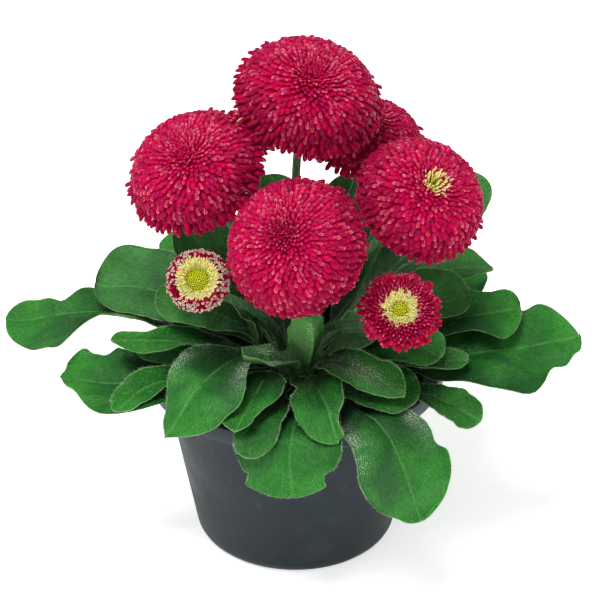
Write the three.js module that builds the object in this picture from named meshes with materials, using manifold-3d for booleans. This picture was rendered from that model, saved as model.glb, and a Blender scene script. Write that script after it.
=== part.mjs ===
// Potted English daisy (Bellis perennis, a pompon form) in a round plastic nursery pot.
// Millimetres, +Z up. The origin is the middle of the pot's flat foot and the plant's front faces -Y.
// A rosette of spoon-shaped leaves and eight flower stalks grow from one short crown in the soil.
import * as THREE from "three";
import * as BufferGeometryUtils from "three/addons/utils/BufferGeometryUtils.js";
import Module from "manifold-3d";

const wasm = await Module();
wasm.setup();

// Driving dimensions

const CLEARANCE = 0.3; // kept between neighbouring pieces
const POT_SIDES = 32;

const POT = {
  height: 69,
  rimRadius: 52.5,
  bandHeight: 6, // the upright band round the rim
  wall: 1.3,
  shoulderRadius: 46.8, // outside of the wall, just under the band
  lowerRadius: 35.6, // outside of the wall, just above the rounded corner
  footRadius: 32, // flat foot that it stands on
  cornerHeight: 4,
  drainHoles: 6,
  drainRadius: 3.2,
  drainCircle: 25,
};

const SOIL = {
  top: 60.2,
  unevenness: 0.7,
};

const CROWN = {
  sides: 12,
  collar: 68, // above this the crown narrows to its top
  // radius and height up the crown: a peg in the soil, then the collar that carries leaves and stalks
  profile: [
    [4.5, 46],
    [6, 54],
    [8.6, 59.5],
    [10.4, 63],
    [10.4, 67],
    [9.6, 71],
    [7.6, 73.6],
    [4, 74.8],
  ],
  top: 75.2,
};

const STALK = {
  radius: 1.5,
  sides: 6,
  steps: 7,
  rootHeight: 70, // inside the crown, before the crown's own shape is cut away
  rise: 0.4, // share of the length that it climbs straight from the crown
  turn: 0.3, // share of the length over which it turns to face with its head
};

// The green cone under a head, with its ring of bracts
const RECEPTACLE = {
  height: 4.5,
  footRadius: 1.7,
  width: 0.25, // radius at the bracts, as a share of the head's
  bractHeight: 1.1, // below the cone's top
  bracts: 9,
  bractReach: 0.6, // bract tips' place, as a share of the floret core
  bractThickness: 0.8,
  bractTip: 0.7, // half width of a tip
};

const LEAF = {
  collarReach: 12, // how far out a petiole starts to bend
  petioleWidth: 3,
  petioleThickness: 1.8,
  bladeThickness: 0.8,
  tipWidth: 2.6,
  rootRadius: 6, // inside the crown, before the crown's own shape is cut away
  tiers: { low: 62.6, mid: 66.1, high: 69.6, heart: 72.4 }, // heights where petioles leave the crown
};

const FLORET = {
  tipShare: 0.2, // half width of a floret's tip, as a share of its place round the head
  droop: 0.9, // how far the lowest florets turn down
  lengthSpread: 0.24, // share by which lengths differ
  leanSpread: 0.12, // radians by which they lean differently
};

// Shares of a head's radius
const HEAD = {
  core: 0.8,
  skirt: 0.2, // how far the core reaches below its widest ring
  wellDepth: 0.34,
};

const EYE = {
  floretShare: 0.5, // length of the pale florets, as a share of the red ones'
  floretLean: 75,
  bumpHeight: 0.6, // the disc's tiny florets
  bumpLean: 70,
  bumpTip: 0.3,
  discColumns: 10,
};

// Rings of florets, by their angle from the head's axis in degrees, from the fringe to the middle
const FULL_RINGS = [104, 84, 64, 48, 35, 25, 17, 11];
const OPEN_RINGS = [100, 80, 62, 50];

// Flower heads: centre of the widest ring, radius over the florets, axis they face along, height of the dome
// as a share of the radius, and where the stalk leaves the crown (degrees round from +X, distance from the
// axis). `eye` is an open pale middle, with a yellow disc where `disc` gives its radius.
const HEADS = [
  {
    name: "1_top",
    centre: [4.4, 26, 158],
    radius: 24.5,
    axis: [0.18, -0.37, 0.91],
    dome: 0.62,
    root: [80, 0.8],
  },
  {
    name: "2_left",
    centre: [-34, 2, 142],
    radius: 22.8,
    axis: [-0.3, -0.46, 0.84],
    dome: 0.66,
    root: [165, 5.2],
  },
  {
    name: "3_front",
    centre: [0.5, -32, 132],
    radius: 23.7,
    axis: [-0.29, -0.63, 0.72],
    dome: 0.76,
    root: [268, 5.2],
  },
  {
    name: "4_right",
    centre: [42.5, -7, 136],
    radius: 22.2,
    axis: [0.33, -0.54, 0.775],
    dome: 0.72,
    rings: FULL_RINGS.slice(0, -1),
    root: [2, 5.2],
    eye: { radius: 2.6, columns: 8 },
  },
  {
    name: "5_back_right",
    centre: [24.6, 48, 129],
    radius: 20.4,
    axis: [0.1, -0.1, 0.99],
    dome: 0.66,
    root: [50, 5.2],
  },
  {
    name: "6_back_left",
    centre: [-16, 38, 137.5],
    radius: 11,
    axis: [0.05, -0.3, 0.95],
    dome: 0.6,
    columns: 14,
    rings: [...OPEN_RINGS, 36],
    root: [112, 5.2],
    eye: { radius: 3.2, columns: 8 },
  },
  {
    name: "7_small_left",
    centre: [-32.8, -30, 117.9],
    radius: 11,
    axis: [-0.08, -0.72, 0.69],
    dome: 0.46,
    columns: 18,
    rings: OPEN_RINGS,
    root: [217, 5.2],
    eye: { radius: 6, columns: 16, disc: 3.6 },
  },
  {
    name: "8_small_right",
    centre: [35.2, -38, 110.6],
    radius: 13.6,
    axis: [0.04, -0.62, 0.78],
    dome: 0.42,
    columns: 18,
    rings: OPEN_RINGS,
    root: [316, 5.2],
    eye: { radius: 5.8, columns: 16, disc: 3 },
  },
].map((head) => ({ columns: 16, rings: FULL_RINGS, ...head }));

// Leaves: `from` is where the petiole leaves the crown (degrees round from +X) and `tier` its height there.
// `route` is the midrib from there to the tip. `waist` is the share of the length that is petiole, `roll`
// turns the blade about the midrib (degrees, right side down), `cup` lifts both edges, `wave` is the swell of
// the edges with its count and phase, and a larger `point` gives a sharper tip. `lobes` are places where an
// edge swells or draws in: share of the blade, side, growth, and width as a share of the blade.
const LEAVES = [
  {
    name: "left_far", from: 172, tier: "low", width: 34, waist: 0.5, roll: -2, cup: -0.5,
    wave: [1.2, 1.5, 0], route: [[-38, 8, 73], [-70, 14, 80.5], [-103, 16, 74]],
    lobes: [
      [0.8, 1, -8, 0.1], [0.67, 1, -9, 0.07], [0.78, -1, 8, 0.12],
      [0.62, -1, 9, 0.08], [0.4, -1, -12, 0.15], [0.22, -1, -5, 0.1],
    ],
  },
  {
    name: "left_broad", from: 152, tier: "mid", width: 42, waist: 0.18, roll: -12, cup: 1,
    wave: [2, 2, 1], route: [[-28, 15, 80.5], [-54, 21, 86], [-71, 23, 84.5]],
    lobes: [[0.88, 1, 3, 0.08], [0.6, 1, -4, 0.12], [0.7, -1, -6.5, 0.15]],
  },
  {
    name: "left_low", from: 196, tier: "low", width: 37, waist: 0.28, roll: -4, cup: 0.5,
    wave: [1.2, 1.5, 2], point: 0.7, route: [[-36, -12, 70], [-60, -21, 73], [-82, -16, 70.5]],
    lobes: [
      [0.97, 1, 11, 0.065], [0.78, 1, -3.5, 0.06], [0.6, 1, -4, 0.12],
      [0.87, -1, -6, 0.11], [0.65, -1, 2, 0.1],
    ],
  },
  {
    name: "left_level", from: 190, tier: "high", width: 16, waist: 0.22, roll: -14, cup: 1.5,
    wave: [0.6, 2, 0], route: [[-26, -5, 76], [-43, -10, 82], [-64, -16, 85.5]],
  },
  {
    name: "left_narrow", from: 208, tier: "mid", width: 12, waist: 0.35, roll: -12, cup: 1.5,
    wave: [0.5, 2, 0], route: [[-30, -14, 70.4], [-49, -26, 74.5], [-62, -41, 72.3]],
  },
  {
    name: "front_left_large", from: 226, tier: "high", width: 30, waist: 0.14, roll: 0, cup: -0.5,
    wave: [1, 1.5, 3], point: 0.8, route: [[-19, -20, 82.5], [-33, -37, 81.5], [-44.5, -50, 67.5]],
    lobes: [
      [0.85, 1, -4, 0.12], [0.6, 1, -1.5, 0.15], [0.38, -1, -5, 0.12],
      [0.65, -1, 3.5, 0.12], [0.83, -1, 4.5, 0.1],
    ],
  },
  {
    name: "front_left_narrow", from: 246, tier: "mid", width: 16, waist: 0.24, roll: 4, cup: 1.5,
    wave: [0.5, 2, 1], route: [[-10, -22, 75], [-15, -41, 77.2], [-20.5, -57, 74.5]],
  },
  {
    name: "front_small_dark", from: 256, tier: "low", width: 18, waist: 0.3, roll: 0, cup: 1,
    wave: [0.6, 1.5, 2], route: [[-7, -28, 69], [-13, -49, 73.6], [-16, -62, 67]],
  },
  {
    name: "front_low_broad", from: 278, tier: "low", width: 38, waist: 0.34, roll: 0, cup: -1.5,
    wave: [1, 2, 0.5], point: 0.45, route: [[1, -30, 67], [-1, -52, 72.6], [-2, -61, 63], [-1, -63, 52]],
  },
  {
    name: "front_centre_right", from: 282, tier: "mid", width: 24, waist: 0.18, roll: 4, cup: 0.5,
    wave: [0.8, 2, 0], route: [[5, -26, 76], [10.5, -45, 79], [14.5, -57, 70]],
  },
  {
    name: "front_right_upper", from: 306, tier: "high", width: 18, waist: 0.24, roll: 10, cup: 1.5,
    wave: [1, 2, 2], point: 0.8, route: [[13, -20, 80.4], [24, -31.5, 83.4], [37, -41, 78]],
  },
  {
    name: "front_right_dark", from: 314, tier: "mid", width: 24, waist: 0.3, roll: 6, cup: 0.5,
    wave: [0.5, 1.5, 0], route: [[17, -20, 73], [29, -31, 76], [41, -38, 74]],
  },
  {
    name: "front_right_large", from: 304, tier: "low", width: 37, waist: 0.36, roll: 0, cup: -2,
    wave: [1.2, 2, 1], route: [[18, -30, 67.5], [29, -48, 72.6], [38, -59, 61], [43, -61, 41]],
  },
  {
    name: "right_small", from: 330, tier: "low", width: 17, waist: 0.68, roll: 14, cup: -0.5,
    wave: [0.6, 1.5, 0], route: [[34, -20.5, 67.8], [48, -29.4, 71.7], [64, -36, 65.4]],
  },
  {
    name: "right_far", from: 354, tier: "low", width: 39, waist: 0.36, roll: 12, cup: 0.5,
    wave: [2, 1.8, 2.6], point: 0.62, route: [[36, -6, 71.5], [68, -10, 79], [99.5, 2, 76]],
    lobes: [
      [0.48, 1, 2.5, 0.08], [0.6, 1, 6.5, 0.08], [0.78, 1, -6, 0.07],
      [0.9, 1, -3, 0.05], [0.78, -1, -3, 0.06],
    ],
  },
  {
    name: "right_folded", from: 14, tier: "mid", width: 22, waist: 0.5, roll: 18, cup: 3,
    wave: [1.5, 2, 0], route: [[30, 3, 77], [56, 1.5, 84.5], [79, 4.5, 86.5]],
  },
  {
    name: "right_upper", from: 1, tier: "high", width: 27, waist: 0.3, roll: 24, cup: 1,
    wave: [0.8, 2, 1], route: [[24, -1, 82], [44, -1, 91], [61, 4, 92]],
  },
  {
    name: "right_curled", from: 30, tier: "high", width: 15, waist: 0.4, roll: 12, cup: 1.5,
    wave: [1, 2.5, 0], route: [[28, 12, 84.5], [52, 20.6, 92.3], [70, 25, 90.3]],
  },
  {
    name: "right_round", from: 344, tier: "high", width: 17, waist: 0.36, roll: 26, cup: 0,
    wave: [0.4, 1.5, 0], route: [[22, -11, 77.5], [38, -20, 88], [50, -28, 86]],
  },
  {
    name: "right_tuck", from: 335, tier: "mid", width: 11, waist: 0.3, roll: 10, cup: 1,
    wave: [0.6, 2, 0], route: [[28, -12, 75.8], [46, -20, 80], [60, -20, 80]],
  },
  {
    name: "back_right_raised", from: 48, tier: "mid", width: 24, waist: 0.36, roll: 14, cup: 1,
    wave: [0.8, 2, 0], route: [[30, 27, 84], [54, 42, 103], [69, 47, 113]],
  },
  {
    name: "back_right_low", from: 28, tier: "low", width: 28, waist: 0.34, roll: 0, cup: 1,
    wave: [1.4, 2, 1], route: [[36, 20, 71], [54, 33, 79], [66, 42, 80]],
  },
  {
    name: "back_right_wide", from: 60, tier: "low", width: 26, waist: 0.34, roll: 0, cup: 0,
    wave: [1.4, 1.5, 0], route: [[20, 36, 71], [30, 58, 79], [38, 76, 78]],
  },
  {
    name: "back_right_inner", from: 74, tier: "mid", width: 22, waist: 0.28, roll: 0, cup: 1,
    wave: [0.8, 2, 0], route: [[11, 28, 84], [18, 42, 102], [22, 54, 112]],
  },
  {
    name: "back_left_inner", from: 100, tier: "mid", width: 22, waist: 0.28, roll: 0, cup: 1,
    wave: [0.8, 2, 2], route: [[-4, 28, 84], [-7, 42, 102], [-9, 54, 112]],
  },
  {
    name: "back_middle", from: 86, tier: "low", width: 30, waist: 0.38, roll: 0, cup: 0,
    wave: [1.4, 1.5, 1], route: [[2, 38, 71], [2, 62, 79], [0, 82, 78]],
  },
  {
    name: "back_left_wide", from: 117, tier: "low", width: 32, waist: 0.36, roll: 0, cup: 0,
    wave: [1.4, 1.5, 2], route: [[-18, 35, 71], [-32, 57, 79], [-42, 74, 78]],
  },
  {
    name: "left_raised", from: 132, tier: "high", width: 26, waist: 0.2, roll: -10, cup: 1,
    wave: [1, 2, 0], route: [[-20, 20, 88], [-34, 25, 102], [-43, 25, 112]],
  },
  {
    name: "left_round", from: 166, tier: "high", width: 20, waist: 0.28, roll: -16, cup: 0,
    wave: [0.5, 1.5, 0], route: [[-22, 4, 82], [-37, 1, 89.5], [-49, -1, 92]],
  },
  {
    name: "left_under", from: 180, tier: "mid", width: 18, waist: 0.22, roll: -10, cup: 1,
    wave: [0.8, 2, 0], route: [[-26, -2, 73], [-42, -6.5, 76.2], [-57, -8, 77.6]],
  },
  {
    name: "heart_upright", from: 288, tier: "heart", width: 13, waist: 0.2, roll: 0, cup: 2.5,
    wave: [0.3, 1.5, 0], route: [[4, -14, 82], [5, -16, 95]],
  },
  {
    name: "heart_right", from: 323, tier: "heart", width: 19, waist: 0.25, roll: 18, cup: 0,
    wave: [0.8, 2, 0], route: [[15.5, -11, 85], [29.5, -15.5, 90.8]],
  },
  {
    name: "heart_left", from: 262, tier: "heart", width: 13, waist: 0.12, roll: -8, cup: 1,
    wave: [0.8, 2, 1], route: [[-4, -19, 80], [-18, -27, 86]],
  },
  {
    name: "heart_back", from: 209, tier: "heart", width: 16, waist: 0.2, roll: 0, cup: 1,
    wave: [0.8, 2, 0], route: [[-15, -3, 86], [-24, -3, 98]],
  },
];

// Colours as seen

const MATERIALS = {
  pot: new THREE.MeshStandardMaterial({ color: 0x434a52, roughness: 0.55, metalness: 0 }),
  soil: new THREE.MeshStandardMaterial({ color: 0x1d1712, roughness: 1, metalness: 0 }),
  crown: new THREE.MeshStandardMaterial({ color: 0x5e7a4a, roughness: 0.8, metalness: 0 }),
  stalk: new THREE.MeshStandardMaterial({ color: 0x3f7a3a, roughness: 0.7, metalness: 0 }),
  leaf: new THREE.MeshStandardMaterial({ color: 0x35803a, roughness: 0.5, metalness: 0 }),
  red: new THREE.MeshStandardMaterial({ color: 0xb0063f, roughness: 0.5, metalness: 0 }),
  cream: new THREE.MeshStandardMaterial({ color: 0xefe29a, roughness: 0.6, metalness: 0 }),
  yellow: new THREE.MeshStandardMaterial({ color: 0xd3cf2c, roughness: 0.6, metalness: 0 }),
};

// Solids and meshes

const plant = new THREE.Group();

function signedVolume(geometry) {
  const position = geometry.attributes.position;
  const [a, b, c] = [new THREE.Vector3(), new THREE.Vector3(), new THREE.Vector3()];
  let volume = 0;
  for (let i = 0; i < geometry.index.count; i += 3) {
    a.fromBufferAttribute(position, geometry.index.getX(i));
    b.fromBufferAttribute(position, geometry.index.getX(i + 1));
    c.fromBufferAttribute(position, geometry.index.getX(i + 2));
    volume += a.dot(b.cross(c)) / 6;
  }
  return volume;
}

// A solid from any closed geometry: shared vertices are merged and the faces are turned to point out.
function solidFrom(geometry) {
  geometry.deleteAttribute("normal");
  geometry.deleteAttribute("uv");
  const merged = BufferGeometryUtils.mergeVertices(geometry, 1e-4);
  const inwards = signedVolume(merged) < 0;
  const triangles = [];
  for (let i = 0; i < merged.index.count; i += 3) {
    const [a, b, c] = [0, 1, 2].map((k) => merged.index.getX(i + k));
    if (a !== b && b !== c && c !== a) {
      triangles.push(...(inwards ? [a, c, b] : [a, b, c]));
    }
  }
  const vertProperties = new Float32Array(merged.attributes.position.array);
  const triVerts = new Uint32Array(triangles);
  return new wasm.Manifold(new wasm.Mesh({ numProp: 3, vertProperties, triVerts }));
}

function meshFrom(name, solid, material) {
  const { numProp, vertProperties, triVerts } = solid.getMesh();
  const positions = [];
  for (let i = 0; i < vertProperties.length; i += numProp) {
    positions.push(vertProperties[i], vertProperties[i + 1], vertProperties[i + 2]);
  }
  const geometry = new THREE.BufferGeometry();
  geometry.setAttribute("position", new THREE.Float32BufferAttribute(positions, 3));
  geometry.setIndex(Array.from(triVerts));
  geometry.computeVertexNormals();
  const mesh = new THREE.Mesh(geometry, material);
  mesh.name = name;
  plant.add(mesh);
  return mesh;
}

// A closed turned shape about +Z from [radius, height] points that start and end on the axis.
function turned(profile, sides) {
  const points = profile.map(([radius, height]) => new THREE.Vector2(radius, height));
  return new THREE.LatheGeometry(points, sides).rotateX(Math.PI / 2);
}

const radians = THREE.MathUtils.degToRad;

// A repeatable stream of numbers from 0 to 1, for the small differences between florets.
function seeded(seed) {
  let state = seed >>> 0;
  return () => {
    state = (state * 1664525 + 1013904223) >>> 0;
    return state / 4294967296;
  };
}

// Pot and soil

const bandBottom = POT.height - POT.bandHeight;
const bandInside = POT.rimRadius - POT.wall;
const innerFloor = POT.wall + 0.3;

// Outside radius of the pot's sloping wall at a height.
function wallRadius(height) {
  const share = (height - POT.cornerHeight) / (bandBottom - POT.cornerHeight);
  return THREE.MathUtils.lerp(POT.lowerRadius, POT.shoulderRadius, share);
}

function addPot() {
  const edge = 0.6; // rounding of the band's edges
  const cornerMiddle = [POT.footRadius + 2.4, 1.1];
  const body = solidFrom(
    turned(
      [
        [0, 0],
        [POT.footRadius, 0],
        cornerMiddle,
        [POT.lowerRadius, POT.cornerHeight],
        [POT.shoulderRadius, bandBottom],
        [POT.rimRadius - edge, bandBottom],
        [POT.rimRadius, bandBottom + edge],
        [POT.rimRadius, POT.height - edge],
        [POT.rimRadius - edge, POT.height],
        [bandInside, POT.height],
        [bandInside, bandBottom + POT.wall],
        [POT.shoulderRadius - POT.wall, bandBottom + POT.wall],
        [POT.lowerRadius - POT.wall, POT.cornerHeight + 0.6],
        [POT.footRadius, innerFloor],
        [0, innerFloor],
      ],
      POT_SIDES,
    ),
  );
  let pot = body;
  for (let i = 0; i < POT.drainHoles; i += 1) {
    const angle = ((i + 0.5) / POT.drainHoles) * Math.PI * 2;
    const hole = new THREE.CylinderGeometry(POT.drainRadius, POT.drainRadius, 3 * innerFloor, 8);
    hole.rotateX(Math.PI / 2);
    hole.translate(POT.drainCircle * Math.cos(angle), POT.drainCircle * Math.sin(angle), innerFloor / 2);
    pot = pot.subtract(solidFrom(hole));
  }
  meshFrom("pot", pot, MATERIALS.pot);
}

function addSoil() {
  const hole = CLEARANCE + 0.2; // the crown's plain hole
  const side = POT.wall + CLEARANCE + 0.3;
  const bottom = innerFloor + CLEARANCE;
  const edgeHeight = SOIL.top - 1.4;
  const [peg, shank, neck] = CROWN.profile;
  const geometry = turned(
    [
      [0, bottom],
      [POT.footRadius - CLEARANCE, bottom],
      [POT.lowerRadius - side, POT.cornerHeight + 0.9],
      [wallRadius(edgeHeight) - side, edgeHeight],
      [36, SOIL.top - 0.3],
      [26, SOIL.top],
      [16, SOIL.top + 0.2],
      [neck[0] + hole + 0.3, SOIL.top],
      [shank[0] + hole, shank[1]],
      [peg[0] + hole, peg[1] - CLEARANCE],
      [0, peg[1] - CLEARANCE],
    ],
    POT_SIDES,
  );
  const position = geometry.attributes.position;
  for (let i = 0; i < position.count; i += 1) {
    const [x, y, z] = [position.getX(i), position.getY(i), position.getZ(i)];
    const reach = Math.hypot(x, y);
    if (z > SOIL.top - 1 && reach > 12 && reach < 40) {
      position.setZ(i, z + SOIL.unevenness * Math.sin(x * 0.31 + 1) * Math.cos(y * 0.27));
    }
  }
  meshFrom("soil", solidFrom(geometry), MATERIALS.soil);
}

// Crown

// The crown's shape grown by a margin: with none it is the crown, with the clearance it is what is cut from
// the pieces that grow out of it.
function crownSolid(margin) {
  const [base] = CROWN.profile;
  const growth = (height) => {
    if (height === base[1]) return -1;
    return height > CROWN.collar ? 1 : 0;
  };
  return solidFrom(
    turned(
      [
        [0, base[1] - margin],
        ...CROWN.profile.map(([radius, height]) => [radius + margin, height + margin * growth(height)]),
        [0, CROWN.top + margin],
      ],
      CROWN.sides,
    ),
  );
}

const crownCut = crownSolid(CLEARANCE);

// Leaves

const ACROSS = [-1, -0.5, 0, 0.5, 1]; // places across a blade, edge to edge
const BLADE_STATIONS = [0.2, 0.44, 0.68, 0.88, 1]; // places along a blade, waist to tip

// Width of a blade at a share of its length, widest at about two thirds: 1 at the widest.
function bladeShape(share, point) {
  const rise = 1.1;
  const peak = rise / (rise + point);
  const most = peak ** rise * (1 - peak) ** point;
  return (share ** rise * Math.max(0, 1 - share) ** point) / most;
}

// Distance from the midrib to one edge, with the leaf's own lobes.
function halfWidth(leaf, side, share, half) {
  let result = half;
  for (const [place, at, growth, width] of leaf.lobes ?? []) {
    if (at === side) result += growth * Math.exp(-(((share - place) / width) ** 2));
  }
  return Math.max(result, LEAF.tipWidth / 2);
}

function leafSolid(leaf) {
  const angle = radians(leaf.from);
  const [cos, sin] = [Math.cos(angle), Math.sin(angle)];
  const height = LEAF.tiers[leaf.tier];
  const root = new THREE.Vector3(LEAF.rootRadius * cos, LEAF.rootRadius * sin, height - 1);
  const collar = new THREE.Vector3(LEAF.collarReach * cos, LEAF.collarReach * sin, height + 0.6);
  const points = [root, collar, ...leaf.route.map((p) => new THREE.Vector3(...p))];
  const midrib = new THREE.CatmullRomCurve3(points, false, "catmullrom", 0.5);
  const heading = points.at(-1).clone().sub(root).setZ(0).normalize();
  const level = new THREE.Vector3(heading.y, -heading.x, 0);
  const point = leaf.point ?? 0.5;
  const bladeStations = BLADE_STATIONS.map((share) => leaf.waist + (1 - leaf.waist) * share);
  const stations = [0, leaf.waist / 2, leaf.waist, ...bladeStations];
  const [swell, count, phase] = leaf.wave;
  const rows = { top: [], bottom: [] };
  for (const station of stations) {
    const centre = midrib.getPointAt(station);
    const along = midrib.getTangentAt(station);
    const share = Math.max(0, (station - leaf.waist * 0.8) / (1 - leaf.waist * 0.8));
    const fullness = bladeShape(share, point);
    const slim = station === 1 ? LEAF.tipWidth : LEAF.petioleWidth;
    const half = slim / 2 + ((leaf.width - slim) / 2) * fullness;
    const spread = THREE.MathUtils.smoothstep(share, 0, 0.3);
    const thickness = THREE.MathUtils.lerp(LEAF.petioleThickness, LEAF.bladeThickness, spread);
    const side = level.clone().addScaledVector(along, -level.dot(along)).normalize();
    side.applyAxisAngle(along, radians(leaf.roll) * spread);
    const normal = side.clone().cross(along);
    const [left, right] = [-1, 1].map((edge) => halfWidth(leaf, edge, share, half));
    for (const across of ACROSS) {
      const reach = across * (across < 0 ? left : right);
      const ripple = swell * Math.sin(Math.PI * 2 * count * share + phase + (across < 0 ? 1.3 : 0));
      const lift = Math.abs(across) ** 1.5 * spread * (leaf.cup * fullness + ripple);
      const middle = centre.clone().addScaledVector(side, reach).addScaledVector(normal, lift);
      rows.top.push(middle.clone().addScaledVector(normal, thickness / 2));
      rows.bottom.push(middle.clone().addScaledVector(normal, -thickness / 2));
    }
  }
  return solidFrom(closedSheet(rows.top, rows.bottom, stations.length, ACROSS.length)).subtract(crownCut);
}

// A closed sheet from matching rows of points on its two faces, split into triangles alike on both.
function closedSheet(top, bottom, rowCount, columnCount) {
  const indices = [];
  const under = rowCount * columnCount;
  const at = (row, column) => row * columnCount + column;
  for (let row = 0; row + 1 < rowCount; row += 1) {
    for (let column = 0; column + 1 < columnCount; column += 1) {
      const [a, b] = [at(row, column), at(row, column + 1)];
      const [c, d] = [at(row + 1, column + 1), at(row + 1, column)];
      indices.push(a, b, c, a, c, d);
      indices.push(under + a, under + c, under + b, under + a, under + d, under + c);
    }
    for (const [column, turn] of [[0, false], [columnCount - 1, true]]) {
      const [a, b] = [at(row, column), at(row + 1, column)];
      const strip = [a, b, under + b, a, under + b, under + a];
      indices.push(...(turn ? strip.reverse() : strip));
    }
  }
  for (const [row, turn] of [[0, true], [rowCount - 1, false]]) {
    for (let column = 0; column + 1 < columnCount; column += 1) {
      const [a, b] = [at(row, column), at(row, column + 1)];
      const strip = [a, b, under + b, a, under + b, under + a];
      indices.push(...(turn ? strip.reverse() : strip));
    }
  }
  const geometry = new THREE.BufferGeometry();
  const positions = [...top, ...bottom].flatMap((p) => [p.x, p.y, p.z]);
  geometry.setAttribute("position", new THREE.Float32BufferAttribute(positions, 3));
  geometry.setIndex(indices);
  return geometry;
}

// Flower heads

// A closed body of revolution from rings that are turned half a step from each other, so that its skin is a
// net of diamonds, one on each edge of each ring. A ring with `out` raises a floret from each of its
// diamonds: a wedge with an edge for a tip, or a blunt blade where the ring has `thick`. `bottom` and `top`
// are the heights of the middle points that close the body.
function diamondBody({ rings, columns, bottom, top, random = () => 0.5 }) {
  const positions = [];
  const indices = [];
  const step = (2 * Math.PI) / columns;
  const addPoint = (radius, angle, height) => {
    positions.push(radius * Math.cos(angle), radius * Math.sin(angle), height);
    return positions.length / 3 - 1;
  };
  const low = addPoint(0, 0, bottom);
  const high = addPoint(0, 0, top);
  const net = rings.map((ring, k) => {
    const shift = 0.5 * (k % 2);
    return Array.from({ length: columns }, (_, i) => addPoint(ring.radius, (i + shift) * step, ring.height));
  });
  rings.forEach((ring, k) => {
    for (let i = 0; i < columns; i += 1) {
      const left = net[k][i];
      const right = net[k][(i + 1) % columns];
      const beside = (i + (k % 2)) % columns;
      const down = k > 0 ? net[k - 1][beside] : low;
      const up = k + 1 < rings.length ? net[k + 1][beside] : high;
      if (!ring.out) {
        indices.push(left, right, up, left, down, right);
        continue;
      }
      const angle = (i + 0.5 + 0.5 * (k % 2)) * step;
      const length = ring.out * (1 + FLORET.lengthSpread * (random() - 0.5));
      const lean = ring.lean + FLORET.leanSpread * (random() - 0.5);
      const reach = ring.radius + length * Math.cos(lean);
      const height = ring.height + length * Math.sin(lean);
      const half = Math.atan(ring.tip / reach);
      const thick = (ring.thick ?? 0) / 2;
      const a = addPoint(reach, angle - half, height - thick);
      const b = addPoint(reach, angle + half, height - thick);
      const c = thick ? addPoint(reach, angle - half, height + thick) : a;
      const d = thick ? addPoint(reach, angle + half, height + thick) : b;
      indices.push(left, down, a, down, b, a, down, right, b);
      indices.push(left, c, up, c, d, up, right, up, d);
      if (thick) {
        indices.push(left, a, c, right, d, b, a, b, d, a, d, c);
      }
    }
  });
  const geometry = new THREE.BufferGeometry();
  geometry.setAttribute("position", new THREE.Float32BufferAttribute(positions, 3));
  return geometry.setIndex(indices);
}

function headSizes(head) {
  const core = head.radius * HEAD.core;
  const out = head.radius - core;
  const dome = head.radius * head.dome - out;
  return { core, out, dome, skirt: head.radius * HEAD.skirt, wellDepth: head.radius * HEAD.wellDepth };
}

// Height of a core's surface at a radius, on the dome side.
function domeHeight(sizes, radius) {
  return sizes.dome * Math.sqrt(1 - (radius / sizes.core) ** 2);
}

// Outside radius of the well that holds a plug, so that its flats clear the plug's corners.
function wellAround(radius) {
  return (radius + CLEARANCE) / Math.cos(Math.PI / 16);
}

// The ring of florets at an angle from the head's axis: high ones stand square to the dome, and the lowest
// hang down as a fringe.
function floretRing(head, sizes, polar) {
  const low = polar > Math.PI / 2;
  const radius = sizes.core * Math.sin(polar);
  const cell = (2 * Math.PI * radius) / head.columns;
  return {
    radius,
    height: (low ? sizes.skirt : sizes.dome) * Math.cos(polar),
    out: sizes.out,
    lean: low
      ? -(polar - Math.PI / 2) * FLORET.droop
      : Math.atan2(Math.cos(polar) / sizes.dome, Math.sin(polar) / sizes.core),
    tip: cell * FLORET.tipShare,
  };
}

function redGeometry(head, seed) {
  const sizes = headSizes(head);
  const lip = head.eye ? wellAround(head.eye.radius) : 0;
  const rings = [
    { radius: sizes.core * 0.64, height: -sizes.skirt },
    { radius: sizes.core * 0.92, height: -sizes.skirt * 0.6 },
    ...head.rings.map((degrees) => floretRing(head, sizes, radians(degrees))),
  ];
  let top = sizes.dome - sizes.out * 0.3;
  if (head.eye) {
    top = domeHeight(sizes, lip) - sizes.wellDepth;
    rings.push({ radius: lip, height: domeHeight(sizes, lip) }, { radius: lip, height: top });
  }
  const random = seeded(seed);
  return diamondBody({ rings, columns: head.columns, bottom: -sizes.skirt, top, random });
}

// The pale middle of an open head: a plug in the red core's well, crowned with short florets, and itself with
// a small well where the head has a yellow disc.
function eyeGeometry(head, seed) {
  const sizes = headSizes(head);
  const { radius, disc, columns } = head.eye;
  const rim = domeHeight(sizes, radius);
  const bottom = domeHeight(sizes, wellAround(radius)) - sizes.wellDepth + CLEARANCE;
  const inner = disc ? wellAround(disc) : radius * 0.3;
  const floret = {
    out: sizes.out * EYE.floretShare,
    lean: radians(EYE.floretLean),
    tip: (2 * Math.PI * radius * FLORET.tipShare) / columns,
  };
  const rings = [
    { radius, height: bottom },
    { radius, height: rim - 0.4 },
    { ...floret, radius: radius * 0.94, height: rim },
    { ...floret, radius: THREE.MathUtils.lerp(inner, radius, 0.42), height: rim + 0.3 },
  ];
  let top = rim + 0.3;
  if (disc) {
    top = bottom + sizes.wellDepth * 0.4;
    rings.push({ radius: inner, height: rim }, { radius: inner, height: top });
  }
  return diamondBody({ rings, columns, bottom, top, random: seeded(seed) });
}

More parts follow.
